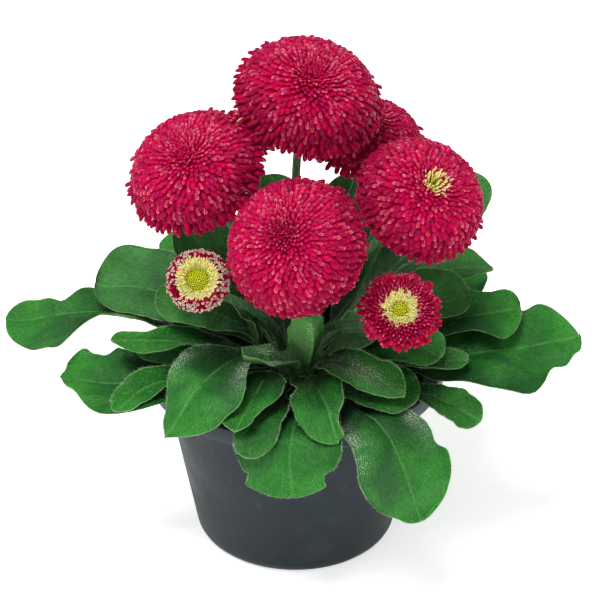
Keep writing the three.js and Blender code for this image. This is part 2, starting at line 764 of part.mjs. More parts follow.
// The yellow disc of a small open head, with its tiny florets in relief.
function discGeometry(head, seed) {
  const sizes = headSizes(head);
  const { disc, radius } = head.eye;
  const rim = domeHeight(sizes, radius);
  const bottom = domeHeight(sizes, wellAround(radius)) - sizes.wellDepth * 0.6 + 2 * CLEARANCE;
  const bump = { out: EYE.bumpHeight, lean: radians(EYE.bumpLean), tip: EYE.bumpTip };
  const rings = [
    { radius: disc, height: bottom },
    { radius: disc, height: rim - 0.2 },
    { ...bump, radius: disc * 0.8, height: rim + 0.3 },
    { ...bump, radius: disc * 0.45, height: rim + 0.8 },
  ];
  return diamondBody({ rings, columns: EYE.discColumns, bottom, top: rim + 1, random: seeded(seed) });
}

// Matrix that stands a head's own frame, +Z along its axis, at its centre.
function headFrame(head) {
  const facing = new THREE.Vector3(...head.axis).normalize();
  const turn = new THREE.Quaternion().setFromUnitVectors(new THREE.Vector3(0, 0, 1), facing);
  return { facing, turn, centre: new THREE.Vector3(...head.centre) };
}

function addHead(head, seed) {
  const { turn, centre } = headFrame(head);
  const pieces = [[`florets_${head.name}`, redGeometry(head, seed), MATERIALS.red]];
  if (head.eye) {
    pieces.push([`eye_${head.name}`, eyeGeometry(head, seed), MATERIALS.cream]);
  }
  if (head.eye?.disc) {
    pieces.push([`disc_${head.name}`, discGeometry(head, seed), MATERIALS.yellow]);
  }
  for (const [name, geometry, material] of pieces) {
    const mesh = meshFrom(name, solidFrom(geometry), material);
    mesh.position.copy(centre);
    mesh.quaternion.copy(turn);
  }
}

// Flower stalks, each with the green cone and bracts that carry its head

function stalkSolid(head) {
  const { facing, turn, centre } = headFrame(head);
  const sizes = headSizes(head);
  const seat = -sizes.skirt - CLEARANCE;
  const end = centre.clone().addScaledVector(facing, seat - RECEPTACLE.height * 0.6);
  const [azimuth, reach] = head.root;
  const angle = radians(azimuth);
  const root = new THREE.Vector3(reach * Math.cos(angle), reach * Math.sin(angle), STALK.rootHeight);
  const length = root.distanceTo(end);
  const path = new THREE.CubicBezierCurve3(
    root,
    root.clone().add(new THREE.Vector3(0, 0, length * STALK.rise)),
    end.clone().addScaledVector(facing, -length * STALK.turn),
    end,
  );
  const ring = new THREE.Shape();
  ring.absarc(0, 0, STALK.radius, 0, Math.PI * 2);
  const section = new THREE.Shape(ring.getSpacedPoints(STALK.sides).slice(0, -1));
  const tube = new THREE.ExtrudeGeometry(section, { steps: STALK.steps, extrudePath: path });
  const width = head.radius * RECEPTACLE.width;
  const receptacle = diamondBody({
    rings: [
      { radius: RECEPTACLE.footRadius, height: seat - RECEPTACLE.height },
      { radius: width * 0.85, height: seat - 2 },
      {
        radius: width,
        height: seat - RECEPTACLE.bractHeight,
        out: sizes.core * RECEPTACLE.bractReach - width,
        lean: 0,
        tip: RECEPTACLE.bractTip,
        thick: RECEPTACLE.bractThickness,
      },
      { radius: width * 0.9, height: seat },
    ],
    columns: RECEPTACLE.bracts,
    bottom: seat - RECEPTACLE.height,
    top: seat,
  });
  const frame = new THREE.Matrix4().compose(centre, turn, new THREE.Vector3(1, 1, 1));
  return solidFrom(tube).add(solidFrom(receptacle.applyMatrix4(frame))).subtract(crownCut);
}

addPot();
addSoil();
meshFrom("crown", crownSolid(0), MATERIALS.crown);
for (const leaf of LEAVES) {
  meshFrom(`leaf_${leaf.name}`, leafSolid(leaf), MATERIALS.leaf);
}
HEADS.forEach((head, i) => {
  meshFrom(`stalk_${head.name}`, stalkSolid(head), MATERIALS.stalk);
  addHead(head, i + 1);
});

export default plant;
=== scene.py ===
"""Potted English daisy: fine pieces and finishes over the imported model.

Every length in the classes below is in millimetres unless its name says otherwise, and becomes
metres when a mesh is made. The frame is the model's own: +Z up, the plant's front faces -Y, the
origin is under the pot.
"""

import logging
import math
from dataclasses import dataclass, field
from enum import Enum, IntEnum

import bpy
import numpy as np
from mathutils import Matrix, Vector

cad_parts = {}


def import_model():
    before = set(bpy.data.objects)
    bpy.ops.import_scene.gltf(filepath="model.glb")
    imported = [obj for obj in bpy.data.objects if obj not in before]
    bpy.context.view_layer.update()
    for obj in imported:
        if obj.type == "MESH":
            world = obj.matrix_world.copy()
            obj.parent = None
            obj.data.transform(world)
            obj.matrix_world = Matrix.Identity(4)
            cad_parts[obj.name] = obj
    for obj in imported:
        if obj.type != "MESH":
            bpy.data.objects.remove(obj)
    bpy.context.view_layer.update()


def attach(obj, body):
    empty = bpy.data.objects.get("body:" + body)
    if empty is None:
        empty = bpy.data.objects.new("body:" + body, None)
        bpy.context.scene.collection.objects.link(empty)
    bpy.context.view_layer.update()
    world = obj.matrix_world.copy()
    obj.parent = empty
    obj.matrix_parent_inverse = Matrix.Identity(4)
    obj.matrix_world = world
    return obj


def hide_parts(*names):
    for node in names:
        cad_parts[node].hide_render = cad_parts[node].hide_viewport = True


MM = 0.001
GOLDEN_ANGLE = math.pi * (3 - math.sqrt(5))
CLEARANCE = 0.3
HAIR_HALF_WIDTH = 0.06
HAIR_SUNK = 0.08
HAIR_SCATTER = 0.38
UP = np.array([0, 0, 1.0])

Point = tuple[float, float, float]
Colour = tuple[int, int, int]
Row = tuple[float, float, float, float]
Socket = bpy.types.NodeSocket
Material = bpy.types.Material
Piece = bpy.types.Object
Random = np.random.Generator
Array = np.ndarray

log = logging.getLogger("daisy")


# Small tools for numbers


def linear(colour: Colour) -> Row:
    """Turns a colour as seen, 0 to 255, into the light values that shaders take.

    Args:
        colour: Red, green and blue from 0 to 255.

    Returns:
        Red, green, blue and a full alpha, from 0 to 1.
    """
    channels = [c / 255 for c in colour]
    light = [c / 12.92 if c <= 0.04045 else ((c + 0.055) / 1.055) ** 2.4 for c in channels]
    return (light[0], light[1], light[2], 1.0)


def smooth(value: Array, low: float, high: float) -> Array:
    """Rises smoothly from 0 to 1.

    Args:
        value: Where to read the curve.
        low: Value at which it leaves 0.
        high: Value at which it reaches 1.

    Returns:
        The curve's height at each value.
    """
    t = np.clip((np.asarray(value, float) - low) / (high - low), 0, 1)
    return t * t * (3 - 2 * t)


def unit(vectors: Array) -> Array:
    """Scales vectors in the last axis to length one."""
    length = np.linalg.norm(vectors, axis=-1, keepdims=True)
    return vectors / np.where(length == 0, 1, length)


def across_to(vectors: Array, axis: Array) -> Array:
    """Makes vectors square to an axis and of length one.

    Args:
        vectors: The vectors to turn.
        axis: Unit vectors that they end up square to.

    Returns:
        Unit vectors.
    """
    along = (vectors * axis).sum(-1, keepdims=True)
    return unit(vectors - along * axis)


class Ripple:
    """Smooth irregular relief: a sum of a few slanting waves with seeded directions."""

    def __init__(self, seed: int, size: float, waves: int = 7) -> None:
        """Picks the waves.

        Args:
            seed: Which relief it is.
            size: Typical width of a swell.
            waves: How many waves are added up.
        """
        rng = np.random.default_rng(seed)
        usual = 2 * math.pi / size
        self.pull = unit(rng.normal(size=(waves, 3))) * usual * rng.uniform(0.6, 1.5, (waves, 1))
        self.phase = rng.uniform(0, 2 * math.pi, waves)

    def at(self, points: Array) -> Array:
        """Height of the relief, about -1 to 1, at points in the last axis."""
        return np.sin(points @ self.pull.T + self.phase).mean(-1) * 1.6


def ring_places(count: int, inner: float, outer: float) -> tuple[Array, ...]:
    """Places spread evenly over a flat ring, in a golden-angle spiral from the inside out.

    Args:
        count: How many there are.
        inner: The ring's inner radius.
        outer: The ring's outer radius.

    Returns:
        Each place's share of the ring within it, its radius, and the unit vector outward.
    """
    order = (np.arange(count) + 0.5) / count
    around = np.arange(count) * GOLDEN_ANGLE
    outward = np.stack([np.cos(around), np.sin(around), np.zeros(count)], -1)
    return order, np.sqrt(inner**2 + (outer**2 - inner**2) * order), outward


# Meshes


class Coat(IntEnum):
    """Which of a piece's materials some of its faces have."""

    FIRST = 0
    SECOND = 1


@dataclass
class Skin:
    """Points, faces and named values at the points, gathered into one mesh."""

    points: list[Array] = field(default_factory=list)
    faces: list[list[int]] = field(default_factory=list)
    coats: list[int] = field(default_factory=list)
    values: dict[str, list[Array]] = field(default_factory=dict)
    count: int = 0

    def add(
        self, points: Array, faces: Array | list, coat: Coat = Coat.FIRST, **values: Array | float
    ) -> None:
        """Adds a patch of points and faces.

        Args:
            points: Positions, one row each.
            faces: Rows of point numbers within this patch, or groups of such rows.
            coat: Which of the mesh's materials the faces have.
            **values: One number per point under each name, or a single one for the whole patch.
        """
        points = np.asarray(points, float).reshape(-1, 3)
        for group in [faces] if isinstance(faces, Array) else faces:
            self.faces.extend((np.asarray(group, int) + self.count).tolist())
            self.coats.extend([int(coat)] * len(group))
        for name in {**self.values, **values}:
            known = self.values.setdefault(name, [np.zeros(self.count)] if self.count else [])
            given = np.asarray(values.get(name, 0.0), float).ravel()
            known.append(np.full(len(points), given[0]) if given.size == 1 else given)
        self.points.append(points)
        self.count += len(points)

    def to_object(self, name: str, materials: list[Material]) -> Piece:
        """Makes the Blender object.

        Args:
            name: The piece's name.
            materials: Its materials, in the order of the coats.

        Returns:
            The object, linked to the scene.
        """
        mesh = bpy.data.meshes.new(name)
        mesh.from_pydata((np.vstack(self.points) * MM).tolist(), [], self.faces)
        for material in materials:
            mesh.materials.append(material)
        mesh.polygons.foreach_set("material_index", self.coats)
        mesh.polygons.foreach_set("use_smooth", [True] * len(self.faces))
        for key, parts in self.values.items():
            layer = mesh.attributes.new(key, "FLOAT", "POINT")
            layer.data.foreach_set("value", np.concatenate(parts).astype(np.float32))
        mesh.update()
        piece = bpy.data.objects.new(name, mesh)
        bpy.context.scene.collection.objects.link(piece)
        return piece


def grid_faces(rows: int, columns: int, closed: bool = False, flip: bool = False) -> Array:
    """Faces of a net of points stored row after row.

    Args:
        rows: Number of rows.
        columns: Number of points in a row.
        closed: Whether each row's last point joins its first.
        flip: Whether the faces point the other way.

    Returns:
        Four point numbers a face.
    """
    last = columns if closed else columns - 1
    row, column = np.meshgrid(np.arange(rows - 1), np.arange(last), indexing="ij")
    beside = (column + 1) % columns
    corners = [row * columns + column, (row + 1) * columns + column]
    corners += [(row + 1) * columns + beside, row * columns + beside]
    faces = np.stack([c.ravel() for c in corners], axis=1)
    return faces[:, ::-1] if flip else faces


def fan_faces(centre: int, ring: Array, flip: bool = False) -> Array:
    """Triangles from one point to a closed ring of points.

    Args:
        centre: The middle point's number.
        ring: The ring's point numbers in order.
        flip: Whether the faces point the other way.

    Returns:
        Three point numbers a face.
    """
    faces = np.stack([np.full(len(ring), centre), ring, np.roll(ring, -1)], axis=1)
    return faces[:, ::-1] if flip else faces


def turned(profile: Array, sides: int) -> tuple[Array, list[Array]]:
    """A body of revolution about +Z, closed by the profile's own ends on the axis.

    Args:
        profile: Rows of radius and height, from the axis to the axis.
        sides: How many sides it has.

    Returns:
        Points and groups of faces.
    """
    inner = profile[1:-1]
    angle = np.arange(sides) * 2 * math.pi / sides
    radius = inner[:, 0, None]
    level = np.repeat(inner[:, 1, None], sides, 1)
    ring = np.stack([radius * np.cos(angle), radius * np.sin(angle), level], -1)
    points = np.vstack([ring.reshape(-1, 3), [[0, 0, profile[0, 1]], [0, 0, profile[-1, 1]]]])
    last = len(inner) * sides
    faces = [
        grid_faces(len(inner), sides, closed=True, flip=True),
        fan_faces(last, np.arange(sides), flip=True),
        fan_faces(last + 1, np.arange(last - sides, last)),
    ]
    return points, faces


def slab(top: Array, bottom: Array) -> tuple[Array, list[Array]]:
    """A thin closed body between two nets of points.

    Args:
        top: Upper net, as rows and columns of positions.
        bottom: Lower net of the same size.

    Returns:
        Points and groups of faces.
    """
    rows, columns = top.shape[:2]
    under = rows * columns
    left = np.arange(rows) * columns
    right = left + columns - 1
    base = np.arange(columns)
    tip = base + under - columns
    strips = []
    for line, flip in ((left, False), (right, True), (base, True), (tip, False)):
        strip = np.stack([line[:-1], line[:-1] + under, line[1:] + under, line[1:]], axis=1)
        strips.append(strip[:, ::-1] if flip else strip)
    upper, lower = grid_faces(rows, columns, flip=True), grid_faces(rows, columns) + under
    return np.concatenate([top.reshape(-1, 3), bottom.reshape(-1, 3)]), [upper, lower, *strips]


def hairs(skin: Skin, rng: Random, roots: Array, outward: Array, length: float) -> None:
    """Adds fine hairs, each a slim pointed blade in the piece's second material.

    Args:
        skin: The mesh that gets them.
        rng: Source of the small differences.
        roots: Where they stand.
        outward: Unit vectors that they point along, more or less.
        length: Their usual length.
    """
    count = len(roots)
    lean = unit(outward + rng.normal(scale=HAIR_SCATTER, size=(count, 3)))
    across = unit(np.cross(lean, rng.normal(size=(count, 3)))) * HAIR_HALF_WIDTH
    reach = lean * (length * rng.uniform(0.6, 1.25, (count, 1)))
    base = roots - lean * HAIR_SUNK
    points = np.stack([base - across, base + across, base + reach], axis=1)
    faces = np.arange(3 * count).reshape(-1, 3)
    skin.add(points, faces, Coat.SECOND, along=np.tile([0.0, 0.0, 1.0], count))


# Materials


class Recipe:
    """Builds one material's nodes around its surface shader."""

    def __init__(self, name: str, roughness: float, specular: float = 0.5) -> None:
        """Starts the material.

        Args:
            name: The material's name.
            roughness: The shader's roughness where nothing drives it.
            specular: The shader's specular level.
        """
        self.material = bpy.data.materials.new(name)
        self.material.use_nodes = True
        self.tree = self.material.node_tree
        self.shader = self.tree.nodes["Principled BSDF"]
        self.shader.inputs["Roughness"].default_value = roughness
        self.shader.inputs["Specular IOR Level"].default_value = specular
        self.place = self.tree.nodes.new("ShaderNodeTexCoord").outputs["Object"]

    def _put(self, socket: Socket, value: object) -> None:
        """Sets a socket to a number or colour, or links it to another socket."""
        if isinstance(value, Socket):
            self.tree.links.new(value, socket)
        else:
            socket.default_value = value

    def node(self, kind: str, **inputs: object) -> bpy.types.Node:
        """Adds a shader node.

        Args:
            kind: Its kind.
            **inputs: A number, a colour or another node's socket for each input of that name.

        Returns:
            The node.
        """
        node = self.tree.nodes.new("ShaderNode" + kind)
        for name, value in inputs.items():
            self._put(node.inputs[name], value)
        return node

    def value(self, name: str) -> Socket:
        """The number that the mesh keeps under a name at each point."""
        node = self.node("Attribute")
        node.attribute_name = name
        return node.outputs["Fac"]

    def noise(self, size: float, detail: float = 3.0, stretch: Point | None = None) -> Socket:
        """Cloudy noise from 0 to 1.

        Args:
            size: Width of a cloud in millimetres.
            detail: How many finer layers it has.
            stretch: Scale along each axis, for noise that runs in one direction.

        Returns:
            The noise's value.
        """
        place = self.place
        if stretch:
            place = self.node("Mapping", Scale=stretch, Vector=place).outputs["Vector"]
        scale = 1 / (size * MM)
        return self.node("TexNoise", Scale=scale, Detail=detail, Vector=place).outputs["Fac"]

    def grain(self, size: float, stretch: float, detail: float = 2.0) -> Socket:
        """Noise drawn out along a blade.

        Args:
            size: Width of a streak in millimetres.
            stretch: How many times longer than wide a streak is.
            detail: How many finer layers it has.

        Returns:
            The noise's value.
        """
        along = self.math("DIVIDE", self.value("length_mm"), stretch)
        place = self.node("CombineXYZ", X=along, Y=self.value("side_mm")).outputs["Vector"]
        return self.node("TexNoise", Scale=1 / size, Detail=detail, Vector=place).outputs["Fac"]

    def cells(self, size: float) -> Socket:
        """Distance to the nearest of many scattered points, 0 at each.

        Args:
            size: Usual distance between the points in millimetres.

        Returns:
            The distance, in cells.
        """
        node = self.node("TexVoronoi", Scale=1 / (size * MM), Vector=self.place)
        return node.outputs["Distance"]

    def math(self, operation: str, first: object, second: object = 0.0) -> Socket:
        """One sum on two values, such as ADD or MULTIPLY."""
        node = self.node("Math")
        node.operation = operation
        self._put(node.inputs[0], first)
        self._put(node.inputs[1], second)
        return node.outputs[0]

    def rise(
        self, value: Socket, low: float, high: float, start: float = 0.0, end: float = 1.0
    ) -> Socket:
        """Follows a value smoothly from one number to another.

        Args:
            value: What is followed.
            low: Value at which it starts to change.
            high: Value at which it has changed.
            start: Result at low.
            end: Result at high.

        Returns:
            The result.
        """
        node = self.node("MapRange", Value=value)
        node.interpolation_type = "SMOOTHSTEP"
        if low > high:
            low, high, start, end = high, low, end, start
        limits = {"From Min": low, "From Max": high, "To Min": start, "To Max": end}
        for name, number in limits.items():
            node.inputs[name].default_value = number
        return node.outputs["Result"]

    def ramp(self, value: Socket, stops: list[tuple[float, Colour]]) -> Socket:
        """Colours along a value.

        Args:
            value: What is followed, 0 to 1.
            stops: Places and the colours seen there.

        Returns:
            The colour.
        """
        node = self.node("ValToRGB", Fac=value)
        elements = node.color_ramp.elements
        while len(elements) < len(stops):
            elements.new(0.5)
        for element, (place, colour) in zip(elements, stops):
            element.position = place
            element.color = linear(colour)
        return node.outputs["Color"]

    def blend(self, share: object, below: object, above: object, mode: str = "MIX") -> Socket:
        """Lays one colour over another.

        Args:
            share: How much of the upper colour shows, 0 to 1.
            below: Lower colour.
            above: Upper colour, a colour as seen or a socket.
            mode: How they are mixed, such as MIX or MULTIPLY.

        Returns:
            The mixed colour.
        """
        node = self.node("Mix")
        node.data_type = "RGBA"
        node.blend_type = mode
        self._put(node.inputs["Factor"], share)
        for socket, colour in ((node.inputs[6], below), (node.inputs[7], above)):
            self._put(socket, linear(colour) if isinstance(colour, tuple) else colour)
        return node.outputs[2]

    def relief(self, heights: list[tuple[object, float]]) -> None:
        """Gives the shader a fine relief.

        Args:
            heights: Height patterns, each with how deep it is in millimetres.
        """
        below = {}
        for height, depth in heights:
            node = self.node("Bump", Strength=1.0, Distance=depth * MM, Height=height, **below)
            below = {"Normal": node.outputs["Normal"]}
        self._put(self.shader.inputs["Normal"], below["Normal"])

    def paint(self, colour: Socket) -> None:
        """Gives the shader its colour."""
        self._put(self.shader.inputs["Base Color"], colour)

    def gloss(self, roughness: Socket) -> None:
        """Gives the shader its roughness."""
        self._put(self.shader.inputs["Roughness"], roughness)

    def glow(self, weight: float, depth: float, reach: Point) -> None:
        """Lets light spread under the surface, as in petals.

        Args:
            weight: Share of the light that does.
            depth: How far it gets, in millimetres.
            reach: Share of that distance for red, green and blue.
        """
        self.shader.inputs["Subsurface Weight"].default_value = weight
        self.shader.inputs["Subsurface Radius"].default_value = reach
        self.shader.inputs["Subsurface Scale"].default_value = depth * MM

    def velvet(self, weight: float, roughness: float, tint: Colour) -> None:
        """Gives the shader the pale bloom of fine hairs seen at a slant.

        Args:
            weight: How strong it is.
            roughness: How wide it spreads.
            tint: Its colour.
        """
        self.shader.inputs["Sheen Weight"].default_value = weight
        self.shader.inputs["Sheen Roughness"].default_value = roughness
        self.shader.inputs["Sheen Tint"].default_value = linear(tint)


@dataclass(frozen=True)
class PotPlastic:
    """Dark moulded plastic with faint scuffs and dust."""

    body: Colour = (26, 36, 42)
    foot: Colour = (22, 31, 35)
    dust: Colour = (72, 80, 86)
    rim_dust: float = 0.4
    cloud_size: float = 14.0
    scuff_size: float = 2.2
    grain_size: float = 0.5
    roughness: float = 0.5
    specular: float = 0.18

    def make(self) -> Material:
        """Builds the material.

        Returns:
            The finished material.
        """
        recipe = Recipe("pot_plastic", self.roughness, self.specular)
        height = recipe.value("height")
        colour = recipe.ramp(height, [(0.0, self.foot), (0.45, self.body), (1.0, self.body)])
        clouds = recipe.noise(self.cloud_size, 4)
        colour = recipe.blend(recipe.rise(clouds, 0.45, 0.75, 0, 0.25), colour, self.dust)
        streaks = recipe.noise(self.scuff_size, 5, (1, 1, 0.12))
        colour = recipe.blend(recipe.rise(streaks, 0.62, 0.74, 0, 0.15), colour, self.dust)
        rim = recipe.math("MULTIPLY", recipe.value("rim"), self.rim_dust)
        colour = recipe.blend(rim, colour, self.dust)
        recipe.paint(colour)
        recipe.gloss(recipe.rise(clouds, 0.3, 0.8, self.roughness - 0.08, self.roughness + 0.16))
        recipe.relief([(recipe.noise(self.grain_size, 3), 0.03), (clouds, 0.15)])
        return recipe.material


@dataclass(frozen=True)
class PottingMix:
    """Dark, damp, crumbly mix."""

    dark: Colour = (20, 16, 13)
    middle: Colour = (36, 28, 22)
    light: Colour = (62, 48, 36)
    crumb_size: float = 1.6
    fibre_size: float = 3.0
    pore_size: float = 0.9

    def make(self) -> Material:
        """Builds the material.

        Returns:
            The finished material.
        """
        recipe = Recipe("potting_mix", 0.95, 0.2)
        crumbs = recipe.noise(self.crumb_size, 5)
        fibres = recipe.rise(recipe.noise(self.fibre_size, 4, (1, 0.2, 1)), 0.6, 0.72)
        colour = recipe.ramp(crumbs, [(0.25, self.dark), (0.6, self.middle), (0.85, self.light)])
        recipe.paint(recipe.blend(recipe.math("MULTIPLY", fibres, 0.5), colour, self.light))
        recipe.gloss(recipe.rise(crumbs, 0.3, 0.7, 0.7, 1.0))
        recipe.relief([(crumbs, 0.6), (recipe.cells(self.pore_size), 0.3)])
        return recipe.material


@dataclass(frozen=True)
class LeafGreen:
    """Finely hairy leaf: paler ribs and edge, darker towards the crown (partly its own colour,
    partly painted shade from the blooms above), with glints, patches of painted sheen and a
    per-leaf brightness that is partly painted light and shade.
    """

    base: Colour = (6, 30, 16)
    middle: Colour = (22, 90, 28)
    tip: Colour = (44, 128, 36)
    grey: Colour = (74, 118, 74)
    rib: Colour = (92, 156, 78)
    glint: Colour = (158, 206, 142)
    edge: Colour = (150, 200, 128)
    # Pale colour of the painted sheen: light glancing off the fine hairs
    painted_sheen: Colour = (232, 242, 226)
    under: Colour = (84, 134, 70)
    bloom: Colour = (210, 235, 205)
    broad_size: float = 13.0
    fine_size: float = 1.1
    speck_size: float = 0.38
    patch_size: float = 6.0
    roughness: float = 0.42
    specular: float = 0.2

    def make(self) -> Material:
        """Builds the material.

        Returns:
            The finished material.
        """
        recipe = Recipe("leaf_green", self.roughness, self.specular)
        broad = recipe.noise(self.broad_size, 3)
        fine = recipe.grain(self.fine_size, 2.2, 3)
        speck = recipe.grain(self.speck_size, 1.6)
        along = recipe.value("along")
        place = recipe.math("ADD", along, recipe.rise(broad, 0.25, 0.75, -0.22, 0.22))
        # Darker towards the crown: partly the leaf's own colour, partly painted shade from the
        # blooms and leaves above.
        colour = recipe.ramp(place, [(0.08, self.base), (0.52, self.middle), (0.95, self.tip)])
        colour = recipe.blend(recipe.value("grey"), colour, self.grey)
        veins = recipe.rise(fine, 0.3, 0.7, 0.02, 0.16)
        veins = recipe.math("MULTIPLY", recipe.value("vein"), veins)
        colour = recipe.blend(veins, colour, self.rib)
        rib = recipe.rise(recipe.value("rib"), 0.15, 0.75, 0.5, 0.0)
        rib = recipe.math("MULTIPLY", rib, recipe.rise(recipe.noise(5, 3), 0.3, 0.6, 0.25, 1.0))
        colour = recipe.blend(rib, colour, self.rib)
        edge = recipe.rise(recipe.value("edge"), 0.05, 0.4, 0.85, 0.0)
        edge = recipe.math("MULTIPLY", edge, recipe.rise(recipe.noise(4, 2), 0.35, 0.6, 0.3, 1.0))
        colour = recipe.blend(edge, colour, self.edge)
        mottle = recipe.rise(fine, 0.35, 0.7, 0.0, 0.3)
        colour = recipe.blend(mottle, colour, self.base)
        glints = recipe.rise(speck, 0.62, 0.7, 0.0, 0.6)
        glints = recipe.math("MULTIPLY", glints, recipe.rise(broad, 0.35, 0.65, 0.15, 1.0))
        colour = recipe.blend(glints, colour, self.glint)
        # Painted sheen: pale specks in the given patches stand for light glancing off the fine
        # hairs.
        patchy = recipe.rise(recipe.noise(self.patch_size, 3), 0.32, 0.52)
        patchy = recipe.math("MULTIPLY", recipe.value("painted_sheen"), patchy)
        sheen_specks = recipe.math("MULTIPLY", patchy, recipe.rise(speck, 0.5, 0.62))
        colour = recipe.blend(sheen_specks, colour, self.painted_sheen)
        under = recipe.math("MULTIPLY", recipe.value("under"), 0.6)
        colour = recipe.blend(under, colour, self.under)
        # Per-leaf brightness: partly the leaf's own tone, partly painted light and shade, darker
        # for leaves lying under others and brighter for the lit heart leaves.
        tone = recipe.value("tone")
        shade = recipe.node("CombineColor", Red=tone, Green=tone, Blue=tone).outputs["Color"]
        recipe.paint(recipe.blend(1.0, colour, shade, "MULTIPLY"))
        recipe.gloss(recipe.rise(fine, 0.25, 0.75, self.roughness - 0.1, self.roughness + 0.16))
        recipe.relief([(fine, 0.3), (speck, 0.26)])
        recipe.velvet(0.03, 0.3, self.bloom)
        return recipe.material


@dataclass(frozen=True)
class StalkGreen:
    """Ribbed, hairy stalk or bract."""

    name: str = "stalk_green"
    dark: Colour = (28, 64, 36)
    light: Colour = (66, 116, 56)
    bloom: Colour = (210, 235, 205)
    fibre_size: float = 0.9

    def make(self) -> Material:
        """Builds the material.

        Returns:
            The finished material.
        """
        recipe = Recipe(self.name, 0.55, 0.4)
        fine = recipe.noise(self.fibre_size, 3, (1, 1, 0.2))
        lift = recipe.math("ADD", recipe.value("along"), recipe.rise(fine, 0.3, 0.7, -0.3, 0.3))
        recipe.paint(recipe.ramp(lift, [(0.1, self.dark), (0.9, self.light)]))
        recipe.gloss(recipe.rise(fine, 0.3, 0.7, 0.45, 0.7))
        recipe.relief([(fine, 0.2), (recipe.noise(0.3, 2), 0.06)])
        recipe.velvet(0.3, 0.4, self.bloom)
        return recipe.material


@dataclass(frozen=True)
class PaleHair:
    """Fine whitish hairs, greener at the root."""

    root: Colour = (112, 158, 98)
    end: Colour = (206, 224, 190)

    def make(self) -> Material:
        """Builds the material.

        Returns:
            The finished material.
        """
        recipe = Recipe("pale_hair", 0.5, 0.5)
        change = recipe.rise(recipe.noise(2, 2), 0.3, 0.7, -0.3, 0.2)
        lift = recipe.math("ADD", recipe.value("along"), change)
        recipe.paint(recipe.ramp(lift, [(0.1, self.root), (0.9, self.end)]))
        recipe.gloss(recipe.rise(recipe.noise(4, 1), 0.3, 0.7, 0.4, 0.6))
        recipe.relief([(recipe.noise(0.3, 1), 0.02)])
        return recipe.material


@dataclass(frozen=True)
class FloretColour:
    """Petal tube: deep at its root, where a root colour brighter than the body is partly the
    petal's own colour and partly painted light against the shade between the florets, clear along
    its body and pale round its mouth, with painted highlight lines along some tubes.
    """

    name: str
    root: Colour
    body: Colour
    end: Colour
    # Pale colour of the mouths, also used for the painted highlight lines
    lip: Colour
    streak: Colour
    dim: Colour
    streak_size: float = 0.35
    roughness: float = 0.36
    specular: float = 0.06
    glow_reach: Point = (1.0, 0.08, 0.2)

    def make(self) -> Material:
        """Builds the material.

        Returns:
            The finished material.
        """
        recipe = Recipe(self.name, self.roughness, self.specular)
        along = recipe.value("along")
        shade = recipe.value("shade")
        colour = recipe.ramp(along, [(0.45, self.root), (0.75, self.body), (0.95, self.end)])
        colour = recipe.blend(recipe.rise(shade, 0.0, 1.0, 0.0, 0.75), colour, self.dim)
        streaks = recipe.rise(recipe.noise(self.streak_size, 2), 0.5, 0.75, 0.0, 0.3)
        colour = recipe.blend(recipe.math("MULTIPLY", streaks, along), colour, self.streak)
        worn = recipe.rise(recipe.noise(0.9, 2), 0.25, 0.6, 0.45, 1.0)
        lip = recipe.math("MULTIPLY", recipe.value("lip"), worn)
        # Painted highlight: pale lines along the upper side of some florets, laid in the lip colour
        # over the pale mouths.
        line = recipe.math("POWER", recipe.value("highlight_line"), 4.0)
        line = recipe.math("MULTIPLY", line, recipe.rise(streaks, 0.0, 0.2, 0.4, 1.0))
        lip = recipe.math("MAXIMUM", lip, line)
        colour = recipe.blend(lip, colour, self.lip)
        colour = recipe.blend(recipe.value("depth"), colour, self.end)
        recipe.paint(colour)
        recipe.gloss(recipe.rise(shade, 0.0, 1.0, self.roughness - 0.08, self.roughness + 0.12))
        recipe.relief([(recipe.noise(0.5, 3), 0.05)])
        recipe.glow(0.7, 2.2, self.glow_reach)
        return recipe.material


# CRIMSON and LACE are brighter at the root than at the end: partly the petals' own colour, partly
# painted light that lifts the shade deep between the florets.
CRIMSON = FloretColour(
    "crimson_florets",
    root=(240, 0, 80),
    body=(196, 0, 72),
    end=(174, 0, 68),
    lip=(255, 130, 146),
    streak=(190, 14, 84),
    dim=(120, 0, 44),
)
LACE = FloretColour(
    "lace_florets",
    root=(150, 0, 46),
    body=(124, 0, 40),
    end=(122, 0, 42),
    lip=(255, 230, 204),
    streak=(160, 20, 70),
    dim=(92, 2, 30),
)
CREAM = FloretColour(
    "cream_florets",
    root=(206, 200, 84),
    body=(242, 222, 104),
    end=(250, 230, 132),
    lip=(253, 240, 168),
    streak=(240, 222, 120),
    dim=(206, 196, 84),
    glow_reach=(1.0, 0.8, 0.4),
)
BUTTON = FloretColour(
    "disc_buttons",
    root=(130, 144, 22),
    body=(222, 214, 24),
    end=(236, 230, 40),
    lip=(246, 238, 90),
    streak=(240, 226, 60),
    dim=(140, 160, 24),
    glow_reach=(1.0, 0.8, 0.1),
)


@dataclass(frozen=True)
class FloretCore:
    """The crimson body of a head that its florets stand on."""

    deep: Colour = (186, 0, 62)
    light: Colour = (212, 0, 72)
    cloud_size: float = 1.2
    pit_size: float = 0.8

    def make(self) -> Material:
        """Builds the material.

        Returns:
            The finished material.
        """
        recipe = Recipe("red_core", 0.7, 0.3)
        cloud = recipe.noise(self.cloud_size, 3)
        recipe.paint(recipe.ramp(cloud, [(0.3, self.deep), (0.8, self.light)]))
        recipe.gloss(recipe.rise(cloud, 0.3, 0.7, 0.6, 0.85))
        recipe.relief([(recipe.cells(self.pit_size), 0.3)])
        return recipe.material


